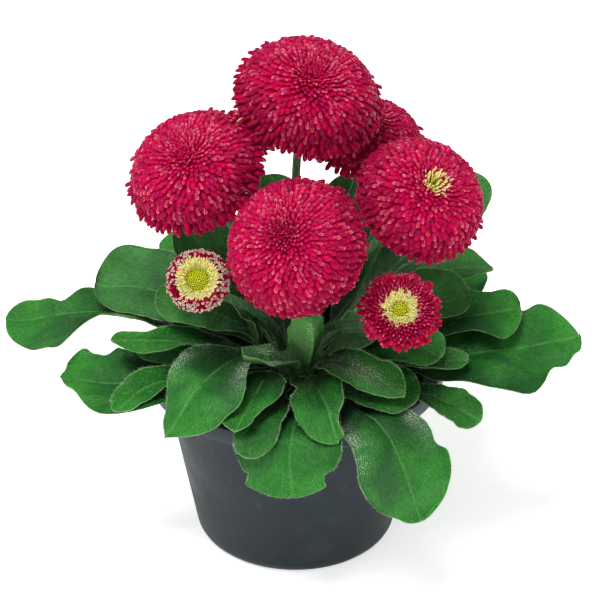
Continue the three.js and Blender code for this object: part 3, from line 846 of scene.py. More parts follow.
@dataclass(frozen=True)
class Studio:
    """Plain pale floor and soft light."""

    floor_light: Colour = (250, 250, 250)
    floor_dim: Colour = (246, 246, 247)
    floor_half: float = 4000.0
    floor_glow: float = 0.6
    white: Row = (1.0, 1.0, 1.0, 1.0)
    sky_strength: float = 0.42
    camera_rise_deg: float = 31.3
    camera_distance: float = 1200.0
    aim: Point = (1.6, 0.0, 92.0)
    lens_mm: float = 206.4
    sensor_mm: float = 36.0

    def build(self) -> None:
        """Makes the floor, the lights, the surroundings and the camera."""
        self._floor()
        self._lights()
        self._camera()
        view = bpy.context.scene.view_settings
        view.view_transform = "Standard"
        view.look = "None"

    def _floor(self) -> None:
        """A wide plain floor at the height of the pot's foot."""
        skin = Skin()
        signs = np.array([[-1, -1, 0], [1, -1, 0], [1, 1, 0], [-1, 1, 0]])
        skin.add(signs * self.floor_half - [0, 0, 0.05], np.array([[0, 1, 2, 3]]))
        recipe = Recipe("studio_floor", 0.9, 0.1)
        cloud = recipe.noise(300, 2)
        recipe.paint(recipe.ramp(cloud, [(0.0, self.floor_light), (1.0, self.floor_dim)]))
        recipe.shader.inputs["Emission Color"].default_value = self.white
        recipe.shader.inputs["Emission Strength"].default_value = self.floor_glow
        skin.to_object("floor", [recipe.material])

    def _lights(self) -> None:
        """A soft key from the upper left, a weak fill from the right and even surroundings."""
        world = bpy.data.worlds.new("studio")
        bpy.context.scene.world = world
        world.use_nodes = True
        sky = world.node_tree.nodes["Background"]
        sky.inputs["Color"].default_value = self.white
        sky.inputs["Strength"].default_value = self.sky_strength
        for name, strength, spread, towards in (
            ("key", 2.8, 26.0, (0.22, 0.26, -1.0)),
            ("fill", 0.45, 60.0, (0.5, 0.9, -0.55)),
        ):
            light = bpy.data.lights.new(name, "SUN")
            light.energy = strength
            light.angle = math.radians(spread)
            lamp = bpy.data.objects.new(name, light)
            lamp.rotation_euler = Vector(towards).to_track_quat("-Z", "Y").to_euler()
            bpy.context.scene.collection.objects.link(lamp)

    def _camera(self) -> None:
        """The camera at the photograph's angle."""
        rise = math.radians(self.camera_rise_deg)
        back = Vector((0, -math.cos(rise), math.sin(rise)))
        camera = bpy.data.cameras.new("camera")
        camera.lens = self.lens_mm
        camera.sensor_width = self.sensor_mm
        camera.clip_end = 50.0
        stand = bpy.data.objects.new("camera", camera)
        stand.location = (Vector(self.aim) + back * self.camera_distance) * MM
        stand.rotation_euler = (-back).to_track_quat("-Z", "Y").to_euler()
        bpy.context.scene.collection.objects.link(stand)
        bpy.context.scene.camera = stand


# Pot, soil and crown


@dataclass
class Pot:
    """Round nursery pot with an upright rim band."""

    height: float = 69.0
    rim_radius: float = 52.5
    band_height: float = 6.0
    rim_edge: float = 0.6
    wall: float = 1.3
    shoulder_radius: float = 46.8
    lower_radius: float = 35.6
    foot_radius: float = 32.0
    corner_height: float = 4.0
    drain_holes: int = 6
    drain_radius: float = 3.2
    drain_circle: float = 25.0
    sides: int = 144

    def wall_radius(self, height: float) -> float:
        """Outside radius of the sloping wall at a height."""
        rise = self.height - self.band_height - self.corner_height
        share = (height - self.corner_height) / rise
        return self.lower_radius + (self.shoulder_radius - self.lower_radius) * share

    def _profile(self) -> Array:
        """Radius and height round the section, from the foot's middle to the floor's middle."""
        foot, shoulder, rim = self.foot_radius, self.shoulder_radius, self.rim_radius
        top, edge = self.height, self.rim_edge
        band, inner = top - self.band_height, rim - self.wall
        rounding = [(foot + 1.4, 0.35), (foot + 2.5, 1.4), (foot + 3.3, 2.9)]
        steps = np.linspace(self.corner_height, band - 1.2, 14)
        wall = [(self.wall_radius(h), h) for h in steps]
        under = [(shoulder + 0.5, band - 0.35), (shoulder + 1.4, band)]
        lip = [
            (rim - edge, band),
            (rim - 0.15, band + 0.2),
            (rim, band + edge),
            (rim, top - edge),
            (rim - 0.15, top - 0.2),
            (rim - edge, top),
            (inner + 0.2, top),
            (inner, top - 0.3),
            (inner, band + self.wall + 0.5),
            (inner - 0.6, band + self.wall),
        ]
        inner_floor = self.wall + 0.3
        inside = [
            (shoulder - self.wall, band + self.wall),
            (self.lower_radius - self.wall, self.corner_height + 0.6),
            (foot, inner_floor),
        ]
        outer = [(0, 0), (foot, 0), *rounding, *wall, *under]
        return np.array([*outer, *lip, *inside, (0, inner_floor)], float)

    def _drain(self, pot: Piece) -> None:
        """Cuts the round drain holes through the floor."""
        skin = Skin()
        for i in range(self.drain_holes):
            angle = (i + 0.5) / self.drain_holes * 2 * math.pi
            profile = [(0, -2), (self.drain_radius, -2), (self.drain_radius, 5), (0, 5)]
            points, faces = turned(np.array(profile, float), 32)
            centre = np.array([math.cos(angle), math.sin(angle), 0]) * self.drain_circle
            skin.add(points + centre, faces)
        cutter = skin.to_object("drain_cutter", [])
        cut = pot.modifiers.new("drains", "BOOLEAN")
        cut.object = cutter
        cut.solver = "EXACT"
        bpy.context.view_layer.update()
        graph = bpy.context.evaluated_depsgraph_get()
        shaped = bpy.data.meshes.new_from_object(pot.evaluated_get(graph))
        pot.modifiers.clear()
        pot.data = shaped
        bpy.data.objects.remove(cutter)

    def build(self) -> Piece:
        """Makes the pot and lets it stand for its solid.

        Returns:
            The pot.
        """
        points, faces = turned(self._profile(), self.sides)
        reach = np.hypot(points[:, 0], points[:, 1])
        rim = smooth(reach, self.shoulder_radius + 0.6, self.shoulder_radius + 2.5)
        below = self.height - self.band_height
        rim *= smooth(points[:, 2], below - 0.5, below + 0.3)
        skin = Skin()
        skin.add(points, faces, rim=rim, height=points[:, 2] / self.height)
        pot = skin.to_object("pot_shell", [PotPlastic().make()])
        self._drain(pot)
        modifier = pot.modifiers.new("crisp_edges", "EDGE_SPLIT")
        modifier.split_angle = math.radians(50)
        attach(pot, "root")
        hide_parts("pot")
        return pot


@dataclass
class Soil:
    """Potting mix with a crumbly top and a plain hole for the crown."""

    pot: Pot
    top: float = 60.2
    bottom: float = 2.0
    sunk: float = 0.4
    hole: tuple[tuple[float, float], ...] = ((9.2, 59), (6.6, 53.5), (5, 45.6), (0, 45.6))
    relief: tuple[tuple[int, float, float], ...] = ((3, 9, 0.7), (4, 3, 0.4), (5, 1.4, 0.25))
    crumbs: int = 900
    crumb_ring: tuple[float, float] = (11, 42)
    crumb_sizes: tuple[float, float] = (0.25, 0.95)
    sides: int = 120

    def _body(self, skin: Skin) -> None:
        """Adds the filling, its top raised and lowered by a fine relief."""
        side = self.pot.wall + CLEARANCE + 0.3
        edge = self.top - 1.4
        outside = self.pot.wall_radius(edge) - side
        profile = [
            (0, self.bottom),
            (self.pot.foot_radius - 0.4, self.bottom),
            (self.pot.lower_radius - side, self.pot.corner_height + 1),
            (self.pot.wall_radius(30) - side, 30),
            (outside, edge),
        ]
        profile += [(r, self.top) for r in np.linspace(outside - 1.2, 10, 34)]
        points, faces = turned(np.array([*profile, *self.hole], float), self.sides)
        top = (points[:, 2] > self.top - 1) * smooth(np.hypot(points[:, 0], points[:, 1]), 9.5, 12)
        relief = sum(Ripple(seed, size).at(points) * height for seed, size, height in self.relief)
        points[:, 2] += relief * top - self.sunk * top
        skin.add(points, faces)

    def _crumbs(self, skin: Skin) -> None:
        """Adds loose crumbs on the top, each a small uneven lump."""
        rng = np.random.default_rng(11)
        lump = np.array([(0, -1), (0.7, -0.7), (1, 0), (0.7, 0.7), (0, 1)], float)
        points, faces = turned(lump, 6)
        near, far = self.crumb_ring
        for _ in range(self.crumbs):
            reach = math.sqrt(rng.uniform(near**2, far**2))
            angle = rng.uniform(0, 2 * math.pi)
            size = rng.uniform(*self.crumb_sizes)
            dents = 1 + rng.uniform(-0.2, 0.2, (len(points), 1))
            shape = points * rng.uniform(0.6, 1.3, 3) * size * dents
            place = [reach * math.cos(angle), reach * math.sin(angle), self.top + 0.1]
            skin.add(shape + place, faces)

    def build(self) -> Piece:
        """Makes the soil and lets it stand for its solid.

        Returns:
            The soil.
        """
        skin = Skin()
        self._body(skin)
        self._crumbs(skin)
        soil = skin.to_object("potting_mix", [PottingMix().make()])
        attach(soil, "root")
        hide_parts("soil")
        return soil


@dataclass
class Crown:
    """The short rootstock, with the wrinkled bases of old petioles round it."""

    profile: tuple[tuple[float, float], ...] = (
        (4.5, 46), (6, 54), (8.6, 59.5), (10.4, 63),
        (10.4, 67), (9.6, 71), (7.6, 73.6), (4, 74.8),
    )
    top: float = 75.2
    folds: int = 17
    fold_depth: float = 0.05
    fold_slant: float = 0.25
    roughness: float = 0.02
    sides: int = 102

    def build(self) -> Piece:
        """Makes the crown and lets it stand for its solid.

        Returns:
            The crown.
        """
        coarse = np.array(self.profile, float)
        heights = np.linspace(coarse[0, 1], coarse[-1, 1], 30)
        radii = np.interp(heights, coarse[:, 1], coarse[:, 0])
        outline = np.vstack([[0, heights[0]], np.column_stack([radii, heights]), [0, self.top]])
        points, faces = turned(outline, self.sides)
        angle = np.arctan2(points[:, 1], points[:, 0])
        turn = self.folds * angle + points[:, 2] * self.fold_slant
        fold = 1 + self.fold_depth * np.cos(turn) + self.roughness * Ripple(8, 3).at(points)
        points[:, :2] *= fold[:, None]
        skin = Skin()
        skin.add(points, faces, along=smooth(points[:, 2], 60, 75))
        crown = skin.to_object("rootstock", [StalkGreen("crown_green").make()])
        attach(crown, "root")
        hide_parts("crown")
        return crown


# Leaves


class Tier(Enum):
    """Heights at which the petioles leave the crown."""

    LOW = 62.6
    MID = 66.1
    HIGH = 69.6
    HEART = 72.4


class Midrib:
    """A smooth curve through points, measured along its length."""

    def __init__(self, points: Array) -> None:
        """Prepares the curve.

        Args:
            points: The points that it passes through.
        """
        first, last = 2 * points[0] - points[1], 2 * points[-1] - points[-2]
        self.points = np.vstack([first, points, last])
        self.places = np.linspace(0, 1, 400)
        track = self._read(self.places)[0]
        steps = np.linalg.norm(np.diff(track, axis=0), axis=1)
        self.travelled = np.concatenate([[0], np.cumsum(steps)])

    def _read(self, places: Array) -> tuple[Array, Array]:
        """Points and directions at places counted from 0 to 1 over the spans."""
        spans = len(self.points) - 3
        where = np.clip(places, 0, 1) * spans
        index = np.minimum(where.astype(int), spans - 1)
        t = (where - index)[:, None]
        p0, p1, p2, p3 = (self.points[index + k] for k in range(4))
        m1, m2 = (p2 - p0) / 2, (p3 - p1) / 2
        c2 = -3 * p1 + 3 * p2 - 2 * m1 - m2
        c3 = 2 * p1 - 2 * p2 + m1 + m2
        return p1 + m1 * t + c2 * t**2 + c3 * t**3, unit(m1 + 2 * c2 * t + 3 * c3 * t**2)

    def at(self, shares: Array) -> tuple[Array, Array]:
        """Points and directions at shares of the whole length."""
        return self._read(np.interp(shares * self.travelled[-1], self.travelled, self.places))


@dataclass(frozen=True)
class Leaf:
    """One spoon-shaped leaf: where it grows, its midrib, its blade and its looks.

    Patches of painted sheen, where light glancing off the fine hairs is painted pale, are held as
    (share along, place across, radius, strength), and `lobes` holds places where the edge swells
    or draws in, as (share along, side, growth, width as a share of the length).
    """

    name: str
    start: float
    tier: Tier
    width: float
    waist: float
    roll: float
    cup: float
    wave: Point
    route: tuple[Point, ...]
    point: float = 0.5
    # Brightness of the whole leaf: partly its own tone, partly painted light and shade.
    tone: float = 1.0
    grey: float = 0.0
    fold: float = 0.0
    painted_sheen: tuple[Row, ...] = ()
    lobes: tuple[Row, ...] = ()


@dataclass
class Blade:
    """The two faces of a leaf as nets of points, its directions and its named values."""

    top: Array
    bottom: Array
    side: Array
    normal: Array
    values: dict[str, Array]


@dataclass
class Plan:
    """A leaf laid flat: places along and across it, and its half widths to the left and right."""

    leaf: Leaf
    share: Array
    across: Array
    half: list[Array]

    def __post_init__(self) -> None:
        """Works out the distance from the midrib and how far the blade has spread."""
        left = self.across[None] < 0
        self.edge = np.where(left, self.half[0][:, None], self.half[1][:, None])
        self.reach = self.edge * self.across[None]
        self.spread = smooth(self.share, 0, 0.3)


@dataclass
class BladeMaker:
    """Turns a leaf's description into a fine mesh with ribs, an uneven edge and hairs."""

    petiole_rows: int = 14
    blade_rows: int = 46
    columns: int = 25
    root_radius: float = 6.0
    collar_reach: float = 12.0
    petiole_width: float = 3.0
    petiole_thickness: float = 1.8
    blade_thickness: float = 0.5
    rise: float = 1.1
    teeth: float = 8.0
    vein_pairs: float = 6.5
    fold: float = 0.06
    swell: float = 0.8
    edge_hair: float = 0.78
    edge_hair_pitch: float = 0.33
    face_hair: float = 0.5
    face_hairs: int = 900

    def _fullness(self, share: Array, point: float) -> Array:
        """Width of a blade at a share of its length: 1 at the widest."""
        peak = self.rise / (self.rise + point)
        most = peak**self.rise * (1 - peak) ** point
        return share**self.rise * np.maximum(0, 1 - share) ** point / most

    def _veins(self, share: Array, across: Array) -> Array:
        """Place between the side veins: whole numbers lie on a vein."""
        return self.vein_pairs * share - 1.25 * np.abs(across) ** 1.3 + 0.15

    def make(self, leaf: Leaf, seed: int, materials: list[Material]) -> Piece:
        """Builds one leaf.

        Args:
            leaf: Its description.
            seed: Source of its small differences.
            materials: The leaf's green and its hairs.

        Returns:
            The leaf.
        """
        rng = np.random.default_rng(seed)
        blade = self.shape(leaf, rng)
        skin = Skin()
        self._sheet(skin, blade)
        self._hairs(skin, rng, blade)
        piece = skin.to_object(f"blade_{leaf.name}", materials)
        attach(piece, "root")
        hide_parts(f"leaf_{leaf.name}")
        return piece

    def shape(self, leaf: Leaf, rng: Random) -> Blade:
        """Works out one leaf's faces.

        Args:
            leaf: Its description.
            rng: Source of its small differences.

        Returns:
            The blade's two faces and what its dressing needs.
        """
        angle = math.radians(leaf.start)
        around = np.array([math.cos(angle), math.sin(angle), 0])
        root = around * self.root_radius + [0, 0, leaf.tier.value - 1]
        collar = around * self.collar_reach + [0, 0, leaf.tier.value + 0.6]
        midrib = Midrib(np.array([root, collar, *leaf.route], float))
        inner = np.linspace(0, leaf.waist, self.petiole_rows, endpoint=False)
        outer = leaf.waist + (1 - leaf.waist) * np.sin(np.linspace(0, math.pi / 2, self.blade_rows))
        stations = np.concatenate([inner, outer])
        centre, along = midrib.at(stations)
        heading = unit((midrib.at(np.array([1.0]))[0][0] - root) * [1, 1, 0])
        level = np.array([heading[1], -heading[0], 0])
        share = np.clip((stations - leaf.waist * 0.8) / (1 - leaf.waist * 0.8), 0, 1)
        across = np.linspace(-1, 1, self.columns)
        plan = Plan(leaf, share, across, self._half_widths(leaf, share, rng))
        side = across_to(np.broadcast_to(level, along.shape), along)
        turn = np.radians(leaf.roll) * plan.spread[:, None]
        side = side * np.cos(turn) + np.cross(along, side) * np.sin(turn)
        normal = np.cross(side, along)
        lift = self._lift(plan, rng)
        middle = centre[:, None] + side[:, None] * plan.reach[..., None]
        middle = middle + normal[:, None] * lift[..., None]
        top, bottom = self._faces_apart(middle, normal, plan)
        return Blade(top, bottom, side, normal, self._looks(plan, midrib.travelled[-1]))

    def _half_widths(self, leaf: Leaf, share: Array, rng: Random) -> list[Array]:
        """Distance from the midrib to the left and the right edge, with swells, teeth and lobes."""
        slim = self.petiole_width * (1 - 0.9 * smooth(share, 0.9, 1))
        half = slim / 2 + (leaf.width - slim) / 2 * self._fullness(share, leaf.point)
        spread = smooth(share, 0.05, 0.4)
        result = []
        for side in (-1, 1):
            first, second, third = rng.uniform(0, 1, 3)
            swell = 0.03 * np.sin(2 * math.pi * (1.6 * share + first))
            swell = swell + 0.02 * np.sin(2 * math.pi * (3.4 * share + second))
            teeth = 0.35 * np.abs(np.sin(math.pi * (self.teeth * share + third))) ** 0.6 - 0.2
            edge = half * (1 + swell * spread) + teeth * spread * smooth(1 - share, 0, 0.06)
            for place, which, growth, width in leaf.lobes:
                if which == side:
                    edge += growth * np.exp(-(((share - place) / width) ** 2))
            result.append(np.maximum(edge, 0.15))
        return result

    def _lift(self, plan: Plan, rng: Random) -> Array:
        """Height of the blade over its flat middle: cup, waves, ribs and swells."""
        leaf, reach = plan.leaf, plan.reach
        height, count, phase = leaf.wave
        u, v = plan.share[:, None], plan.across[None]
        ripple = height * np.sin(2 * math.pi * count * u + phase + np.where(v < 0, 1.3, 0))
        full = self._fullness(plan.share, leaf.point)[:, None]
        lift = np.abs(v) ** 1.5 * (leaf.cup * full + ripple)
        crease = -0.5 * np.exp(-((reach / 1.1) ** 2)) * (1 - u**3)
        between = np.abs(np.sin(math.pi * self._veins(u, v))) ** 0.7
        pucker = 0.28 * (between - 0.5) * (1 - v**4) * np.minimum(1, np.abs(reach) / 3)
        first, second = rng.uniform(0, 1, 2)
        flutter = 0.3 * v**2 * np.sin(2 * math.pi * (4.2 * u + np.where(v < 0, first, second)))
        fold = -(self.fold + leaf.fold) * leaf.width * full * (1 - np.abs(v)) ** 1.5
        swell = self._swell(plan, rng) * (1 - v**4)
        return (lift + crease + pucker + flutter + fold + swell) * plan.spread[:, None]

    def _swell(self, plan: Plan, rng: Random) -> Array:
        """Broad irregular waves of the blade, between its midrib and its edges."""
        width, reach = plan.leaf.width, plan.reach
        size = 1.1 * width
        length = plan.share[:, None] * 2.2 * width
        height = np.zeros(reach.shape)
        for _ in range(4):
            heading, phase = rng.uniform(0, 2 * math.pi, 2)
            pull = 2 * math.pi / (size * rng.uniform(0.5, 1.2))
            place = length * math.cos(heading) + reach * math.sin(heading)
            height += np.sin(pull * place + phase)
        return height * self.swell * (width / 30) * (0.3 + np.minimum(1, np.abs(reach) / 8)) / 2

    def _faces_apart(self, middle: Array, normal: Array, plan: Plan) -> tuple[Array, Array]:
        """Upper and lower face: a round petiole that thins to a blade with a raised rib beneath."""
        v = plan.across[None]
        full = plan.spread[:, None]
        round_part = self.petiole_thickness * np.sqrt(np.maximum(0, 1 - v**2)) + 0.1
        flat_part = self.blade_thickness * (1 - 0.5 * v**4)
        thick = (round_part * (1 - full) + flat_part * full) / 2
        rib = 0.8 * np.exp(-((plan.reach / 0.9) ** 2)) * full * (1 - plan.share[:, None] ** 2)
        top = middle + normal[:, None] * thick[..., None]
        bottom = middle - normal[:, None] * (thick + rib)[..., None]
        return top, bottom

    def _looks(self, plan: Plan, length: float) -> dict[str, Array]:
        """The named values that the leaf's green reads."""
        leaf = plan.leaf
        u, v = np.broadcast_arrays(plan.share[:, None], plan.across[None])
        place = self._veins(u, v)
        vein = np.exp(-(((place - np.round(place)) / 0.09) ** 2)) * (1 - v**4)
        painted_sheen = np.zeros(u.shape)
        for at_share, at_across, radius, strength in leaf.painted_sheen:
            far = np.hypot((u - at_share) * 1.6, v - at_across) / radius
            painted_sheen = np.maximum(painted_sheen, strength * np.exp(-(far**2)))
        return {
            "along": u,
            "rib": np.abs(plan.reach),
            "edge": plan.edge - np.abs(plan.reach),
            "vein": vein * smooth(u, 0.05, 0.3),
            "painted_sheen": painted_sheen,
            "length_mm": u * length,
            "side_mm": plan.reach,
            "tone": np.full(u.shape, leaf.tone),
            "grey": np.full(u.shape, leaf.grey),
        }

    def _sheet(self, skin: Skin, blade: Blade) -> None:
        """Adds the two faces and the rim that joins them."""
        points, faces = slab(blade.top, blade.bottom)
        values = {key: np.tile(value.ravel(), 2) for key, value in blade.values.items()}
        values["under"] = np.repeat([0.0, 1.0], len(points) // 2)
        skin.add(points, faces, **values)

    def _hairs(self, skin: Skin, rng: Random, blade: Blade) -> None:
        """Adds the hairs of the edge and of the upper face."""
        top, side, normal = blade.top, blade.side, blade.normal
        rows, columns = top.shape[:2]
        for column, sign in ((0, -1), (columns - 1, 1)):
            line = top[:, column]
            steps = np.concatenate([[0], np.cumsum(np.linalg.norm(np.diff(line, axis=0), axis=1))])
            places = np.arange(8, steps[-1], self.edge_hair_pitch) + rng.uniform(-0.1, 0.1)
            index = np.interp(places, steps, np.arange(rows))
            low = np.minimum(index.astype(int), rows - 2)
            part = (index - low)[:, None]
            roots = line[low] * (1 - part) + line[low + 1] * part
            outward = unit(side[low] * sign + normal[low] * 0.35)
            hairs(skin, rng, roots, outward, self.edge_hair)
        row = rng.uniform(0.12, 1, self.face_hairs) * (rows - 2)
        column = rng.uniform(0.5, columns - 1.5, self.face_hairs)
        i, j = row.astype(int), column.astype(int)
        a, b = (row - i)[:, None], (column - j)[:, None]
        near = top[i, j] * (1 - b) + top[i, j + 1] * b
        far = top[i + 1, j] * (1 - b) + top[i + 1, j + 1] * b
        hairs(skin, rng, near * (1 - a) + far * a, normal[i], self.face_hair)


LEAVES: tuple[Leaf, ...] = (
    Leaf(
        "left_far", 172, Tier.LOW, 34, 0.5, -2, -0.5, (1.2, 1.5, 0),
        ((-38, 8, 73), (-70, 14, 80.5), (-103, 16, 74)),
        lobes=(
            (0.8, 1, -8, 0.1), (0.67, 1, -9, 0.07), (0.78, -1, 8, 0.12),
            (0.62, -1, 9, 0.08), (0.4, -1, -12, 0.15), (0.22, -1, -5, 0.1),
        ),
    ),
    Leaf(
        "left_broad", 152, Tier.MID, 42, 0.18, -12, 1, (2, 2, 1),
        ((-28, 15, 80.5), (-54, 21, 86), (-71, 23, 84.5)),
        grey=0.35,
        lobes=((0.88, 1, 3, 0.08), (0.6, 1, -4, 0.12), (0.7, -1, -6.5, 0.15)),
    ),
    Leaf(
        "left_low", 196, Tier.LOW, 37, 0.28, -4, 0.5, (1.2, 1.5, 2),
        ((-36, -12, 70), (-60, -21, 73), (-82, -16, 70.5)),
        point=0.7,
        lobes=(
            (0.97, 1, 11, 0.065), (0.78, 1, -3.5, 0.06), (0.6, 1, -4, 0.12),
            (0.87, -1, -6, 0.11), (0.65, -1, 2, 0.1),
        ),
    ),
    Leaf(
        "left_level", 190, Tier.HIGH, 16, 0.22, -14, 1.5, (0.6, 2, 0),
        ((-26, -5, 76), (-43, -10, 82), (-64, -16, 85.5)),
        lobes=((0.75, 1, -5.5, 0.2), (0.5, -1, -3.5, 0.15)),
    ),
    Leaf(
        "left_narrow", 208, Tier.MID, 12, 0.35, -12, 1.5, (0.5, 2, 0),
        ((-30, -14, 70.4), (-49, -26, 74.5), (-62, -41, 72.3)),
    ),
    Leaf(
        "front_left_large", 226, Tier.HIGH, 30, 0.14, 0, -0.5, (1, 1.5, 3),
        ((-19, -20, 82.5), (-33, -37, 81.5), (-44.5, -50, 67.5)),
        point=0.8,
        painted_sheen=((0.5, 0.95, 0.22, 0.8), (0.4, -0.8, 0.25, 0.8)),
        lobes=(
            (0.85, 1, -4, 0.12), (0.6, 1, -1.5, 0.15), (0.38, -1, -5, 0.12),
            (0.65, -1, 3.5, 0.12), (0.83, -1, 4.5, 0.1),
        ),
    ),
    Leaf(
        "front_left_narrow", 246, Tier.MID, 16, 0.24, 4, 1.5, (0.5, 2, 1),
        ((-10, -22, 75), (-15, -41, 77.2), (-20.5, -57, 74.5)),
        lobes=((0.45, -1, 3, 0.2), (0.82, -1, -2.5, 0.12)),
    ),
    Leaf(
        "front_small_dark", 256, Tier.LOW, 18, 0.3, 0, 1, (0.6, 1.5, 2),
        ((-7, -28, 69), (-13, -49, 73.6), (-16, -62, 67)),
        tone=0.7,
        lobes=((0.75, 1, -3, 0.2),),
    ),
    Leaf(
        "front_low_broad", 278, Tier.LOW, 38, 0.34, 0, -1.5, (1, 2, 0.5),
        ((1, -30, 67), (-1, -52, 72.6), (-2, -61, 63), (-1, -63, 52)),
        point=0.45,
        tone=0.92,
        lobes=(
            (0.85, 1, -2.5, 0.1), (0.8, -1, -3.5, 0.12), (0.92, -1, -3.5, 0.06),
            (0.83, 1, -1.2, 0.015), (0.9, 1, 1.8, 0.03), (0.86, -1, -1.5, 0.02),
            (0.94, -1, 2.5, 0.03),
        ),
    ),
    Leaf(
        "front_centre_right", 282, Tier.MID, 24, 0.18, 4, 0.5, (0.8, 2, 0),
        ((5, -26, 76), (10.5, -45, 79), (14.5, -57, 70)),
        lobes=((0.85, -1, -8, 0.15), (0.62, -1, -4, 0.15), (0.45, 1, -4, 0.12)),
    ),
    Leaf(
        "front_right_upper", 306, Tier.HIGH, 18, 0.24, 10, 1.5, (1, 2, 2),
        ((13, -20, 80.4), (24, -31.5, 83.4), (37, -41, 78)),
        point=0.8,
        painted_sheen=((0.5, 0.1, 0.5, 0.8),),
        lobes=((0.5, -1, -3, 0.25), (0.5, 1, 1.0, 0.2)),
    ),
    Leaf(
        "front_right_dark", 314, Tier.MID, 24, 0.3, 6, 0.5, (0.5, 1.5, 0),
        ((17, -20, 73), (29, -31, 76), (41, -38, 74)),
        tone=0.75,
    ),
    Leaf(
        "front_right_large", 304, Tier.LOW, 37, 0.36, 0, -2, (1.2, 2, 1),
        ((18, -30, 67.5), (29, -48, 72.6), (38, -59, 61), (43, -61, 41)),
        painted_sheen=((0.42, 0.9, 0.25, 0.7), (0.4, -0.9, 0.25, 0.7)),
        lobes=(
            (0.82, 1, -2.5, 0.12), (0.93, 1, -3.5, 0.07),
            (0.62, -1, -2.8, 0.07), (0.42, -1, -1, 0.1),
        ),
    ),
    Leaf(
        "right_small", 330, Tier.LOW, 17, 0.68, 14, -0.5, (0.6, 1.5, 0),
        ((34, -20.5, 67.8), (48, -29.4, 71.7), (64, -36, 65.4)),
        lobes=((0.6, -1, -1.5, 0.3), (0.5, 1, -2.5, 0.3)),
    ),
    Leaf(
        "right_far", 354, Tier.LOW, 39, 0.36, 12, 0.5, (2, 1.8, 2.6),
        ((36, -6, 71.5), (68, -10, 79), (99.5, 2, 76)),
        point=0.62,
        lobes=(
            (0.48, 1, 2.5, 0.08), (0.6, 1, 6.5, 0.08), (0.78, 1, -6, 0.07),
            (0.9, 1, -3, 0.05), (0.78, -1, -3, 0.06),
        ),
    ),
    Leaf(
        "right_folded", 14, Tier.MID, 22, 0.5, 18, 3, (1.5, 2, 0),
        ((30, 3, 77), (56, 1.5, 84.5), (79, 4.5, 86.5)),
        lobes=((0.8, 1, 4, 0.15), (0.85, -1, -2, 0.1), (0.7, -1, -2.5, 0.15)),
    ),
    Leaf(
        "right_upper", 1, Tier.HIGH, 27, 0.3, 24, 1, (0.8, 2, 1),
        ((24, -1, 82), (44, -1, 91), (61, 4, 92)),
        grey=0.25,
        lobes=((0.75, 1, -6, 0.2),),
    ),
    Leaf(
        "right_curled", 30, Tier.HIGH, 15, 0.4, 12, 1.5, (1, 2.5, 0),
        ((28, 12, 84.5), (52, 20.6, 92.3), (70, 25, 90.3)),
        grey=0.3,
    ),
    Leaf(
        "right_round", 344, Tier.HIGH, 17, 0.36, 26, 0, (0.4, 1.5, 0),
        ((22, -11, 77.5), (38, -20, 88), (50, -28, 86)),
    ),
    Leaf(
        "right_tuck", 335, Tier.MID, 11, 0.3, 10, 1, (0.6, 2, 0),
        ((28, -12, 75.8), (46, -20, 80), (60, -20, 80)),
        tone=0.85,
    ),
    Leaf(
        "back_right_raised", 48, Tier.MID, 24, 0.36, 14, 1, (0.8, 2, 0),
        ((30, 27, 84), (54, 42, 103), (69, 47, 113)),
        grey=0.3,
    ),
    Leaf(
        "back_right_low", 28, Tier.LOW, 28, 0.34, 0, 1, (1.4, 2, 1),
        ((36, 20, 71), (54, 33, 79), (66, 42, 80)),
    ),
    Leaf(
        "back_right_wide", 60, Tier.LOW, 26, 0.34, 0, 0, (1.4, 1.5, 0),
        ((20, 36, 71), (30, 58, 79), (38, 76, 78)),
    ),
    Leaf(
        "back_right_inner", 74, Tier.MID, 22, 0.28, 0, 1, (0.8, 2, 0),
        ((11, 28, 84), (18, 42, 102), (22, 54, 112)),
        grey=0.35,
    ),
    Leaf(
        "back_left_inner", 100, Tier.MID, 22, 0.28, 0, 1, (0.8, 2, 2),
        ((-4, 28, 84), (-7, 42, 102), (-9, 54, 112)),
        grey=0.35,
    ),
    Leaf(
        "back_middle", 86, Tier.LOW, 30, 0.38, 0, 0, (1.4, 1.5, 1),
        ((2, 38, 71), (2, 62, 79), (0, 82, 78)),
    ),
    Leaf(
        "back_left_wide", 117, Tier.LOW, 32, 0.36, 0, 0, (1.4, 1.5, 2),
        ((-18, 35, 71), (-32, 57, 79), (-42, 74, 78)),
    ),
    Leaf(
        "left_raised", 132, Tier.HIGH, 26, 0.2, -10, 1, (1, 2, 0),
        ((-20, 20, 88), (-34, 25, 102), (-43, 25, 112)),
        grey=0.35,
    ),
    Leaf(
        "left_round", 166, Tier.HIGH, 20, 0.28, -16, 0, (0.5, 1.5, 0),
        ((-22, 4, 82), (-37, 1, 89.5), (-49, -1, 92)),
        grey=0.3,
    ),
    Leaf(
        "left_under", 180, Tier.MID, 18, 0.22, -10, 1, (0.8, 2, 0),
        ((-26, -2, 73), (-42, -6.5, 76.2), (-57, -8, 77.6)),
    ),
    Leaf(
        "heart_upright", 288, Tier.HEART, 13, 0.2, 0, 2.5, (0.3, 1.5, 0),
        ((4, -14, 82), (5, -16, 95)),
        tone=1.6,
        fold=0.34,
        painted_sheen=((0.85, 0.0, 0.4, 0.8), (0.6, 0.6, 0.4, 0.4)),
    ),
    Leaf(
        "heart_right", 323, Tier.HEART, 19, 0.25, 18, 0, (0.8, 2, 0),
        ((15.5, -11, 85), (29.5, -15.5, 90.8)),
        grey=0.5,
        painted_sheen=((0.5, 0.0, 0.6, 0.35),),
    ),
    Leaf(
        "heart_left", 262, Tier.HEART, 13, 0.12, -8, 1, (0.8, 2, 1),
        ((-4, -19, 80), (-18, -27, 86)),
        tone=1.35,
        fold=0.1,
        painted_sheen=((0.5, 0.6, 0.5, 1.0), (0.7, -0.6, 0.5, 1.0)),
    ),
    Leaf(
        "heart_back", 209, Tier.HEART, 16, 0.2, 0, 1, (0.8, 2, 0),
        ((-15, -3, 86), (-24, -3, 98)),
        tone=0.7,
    ),
)


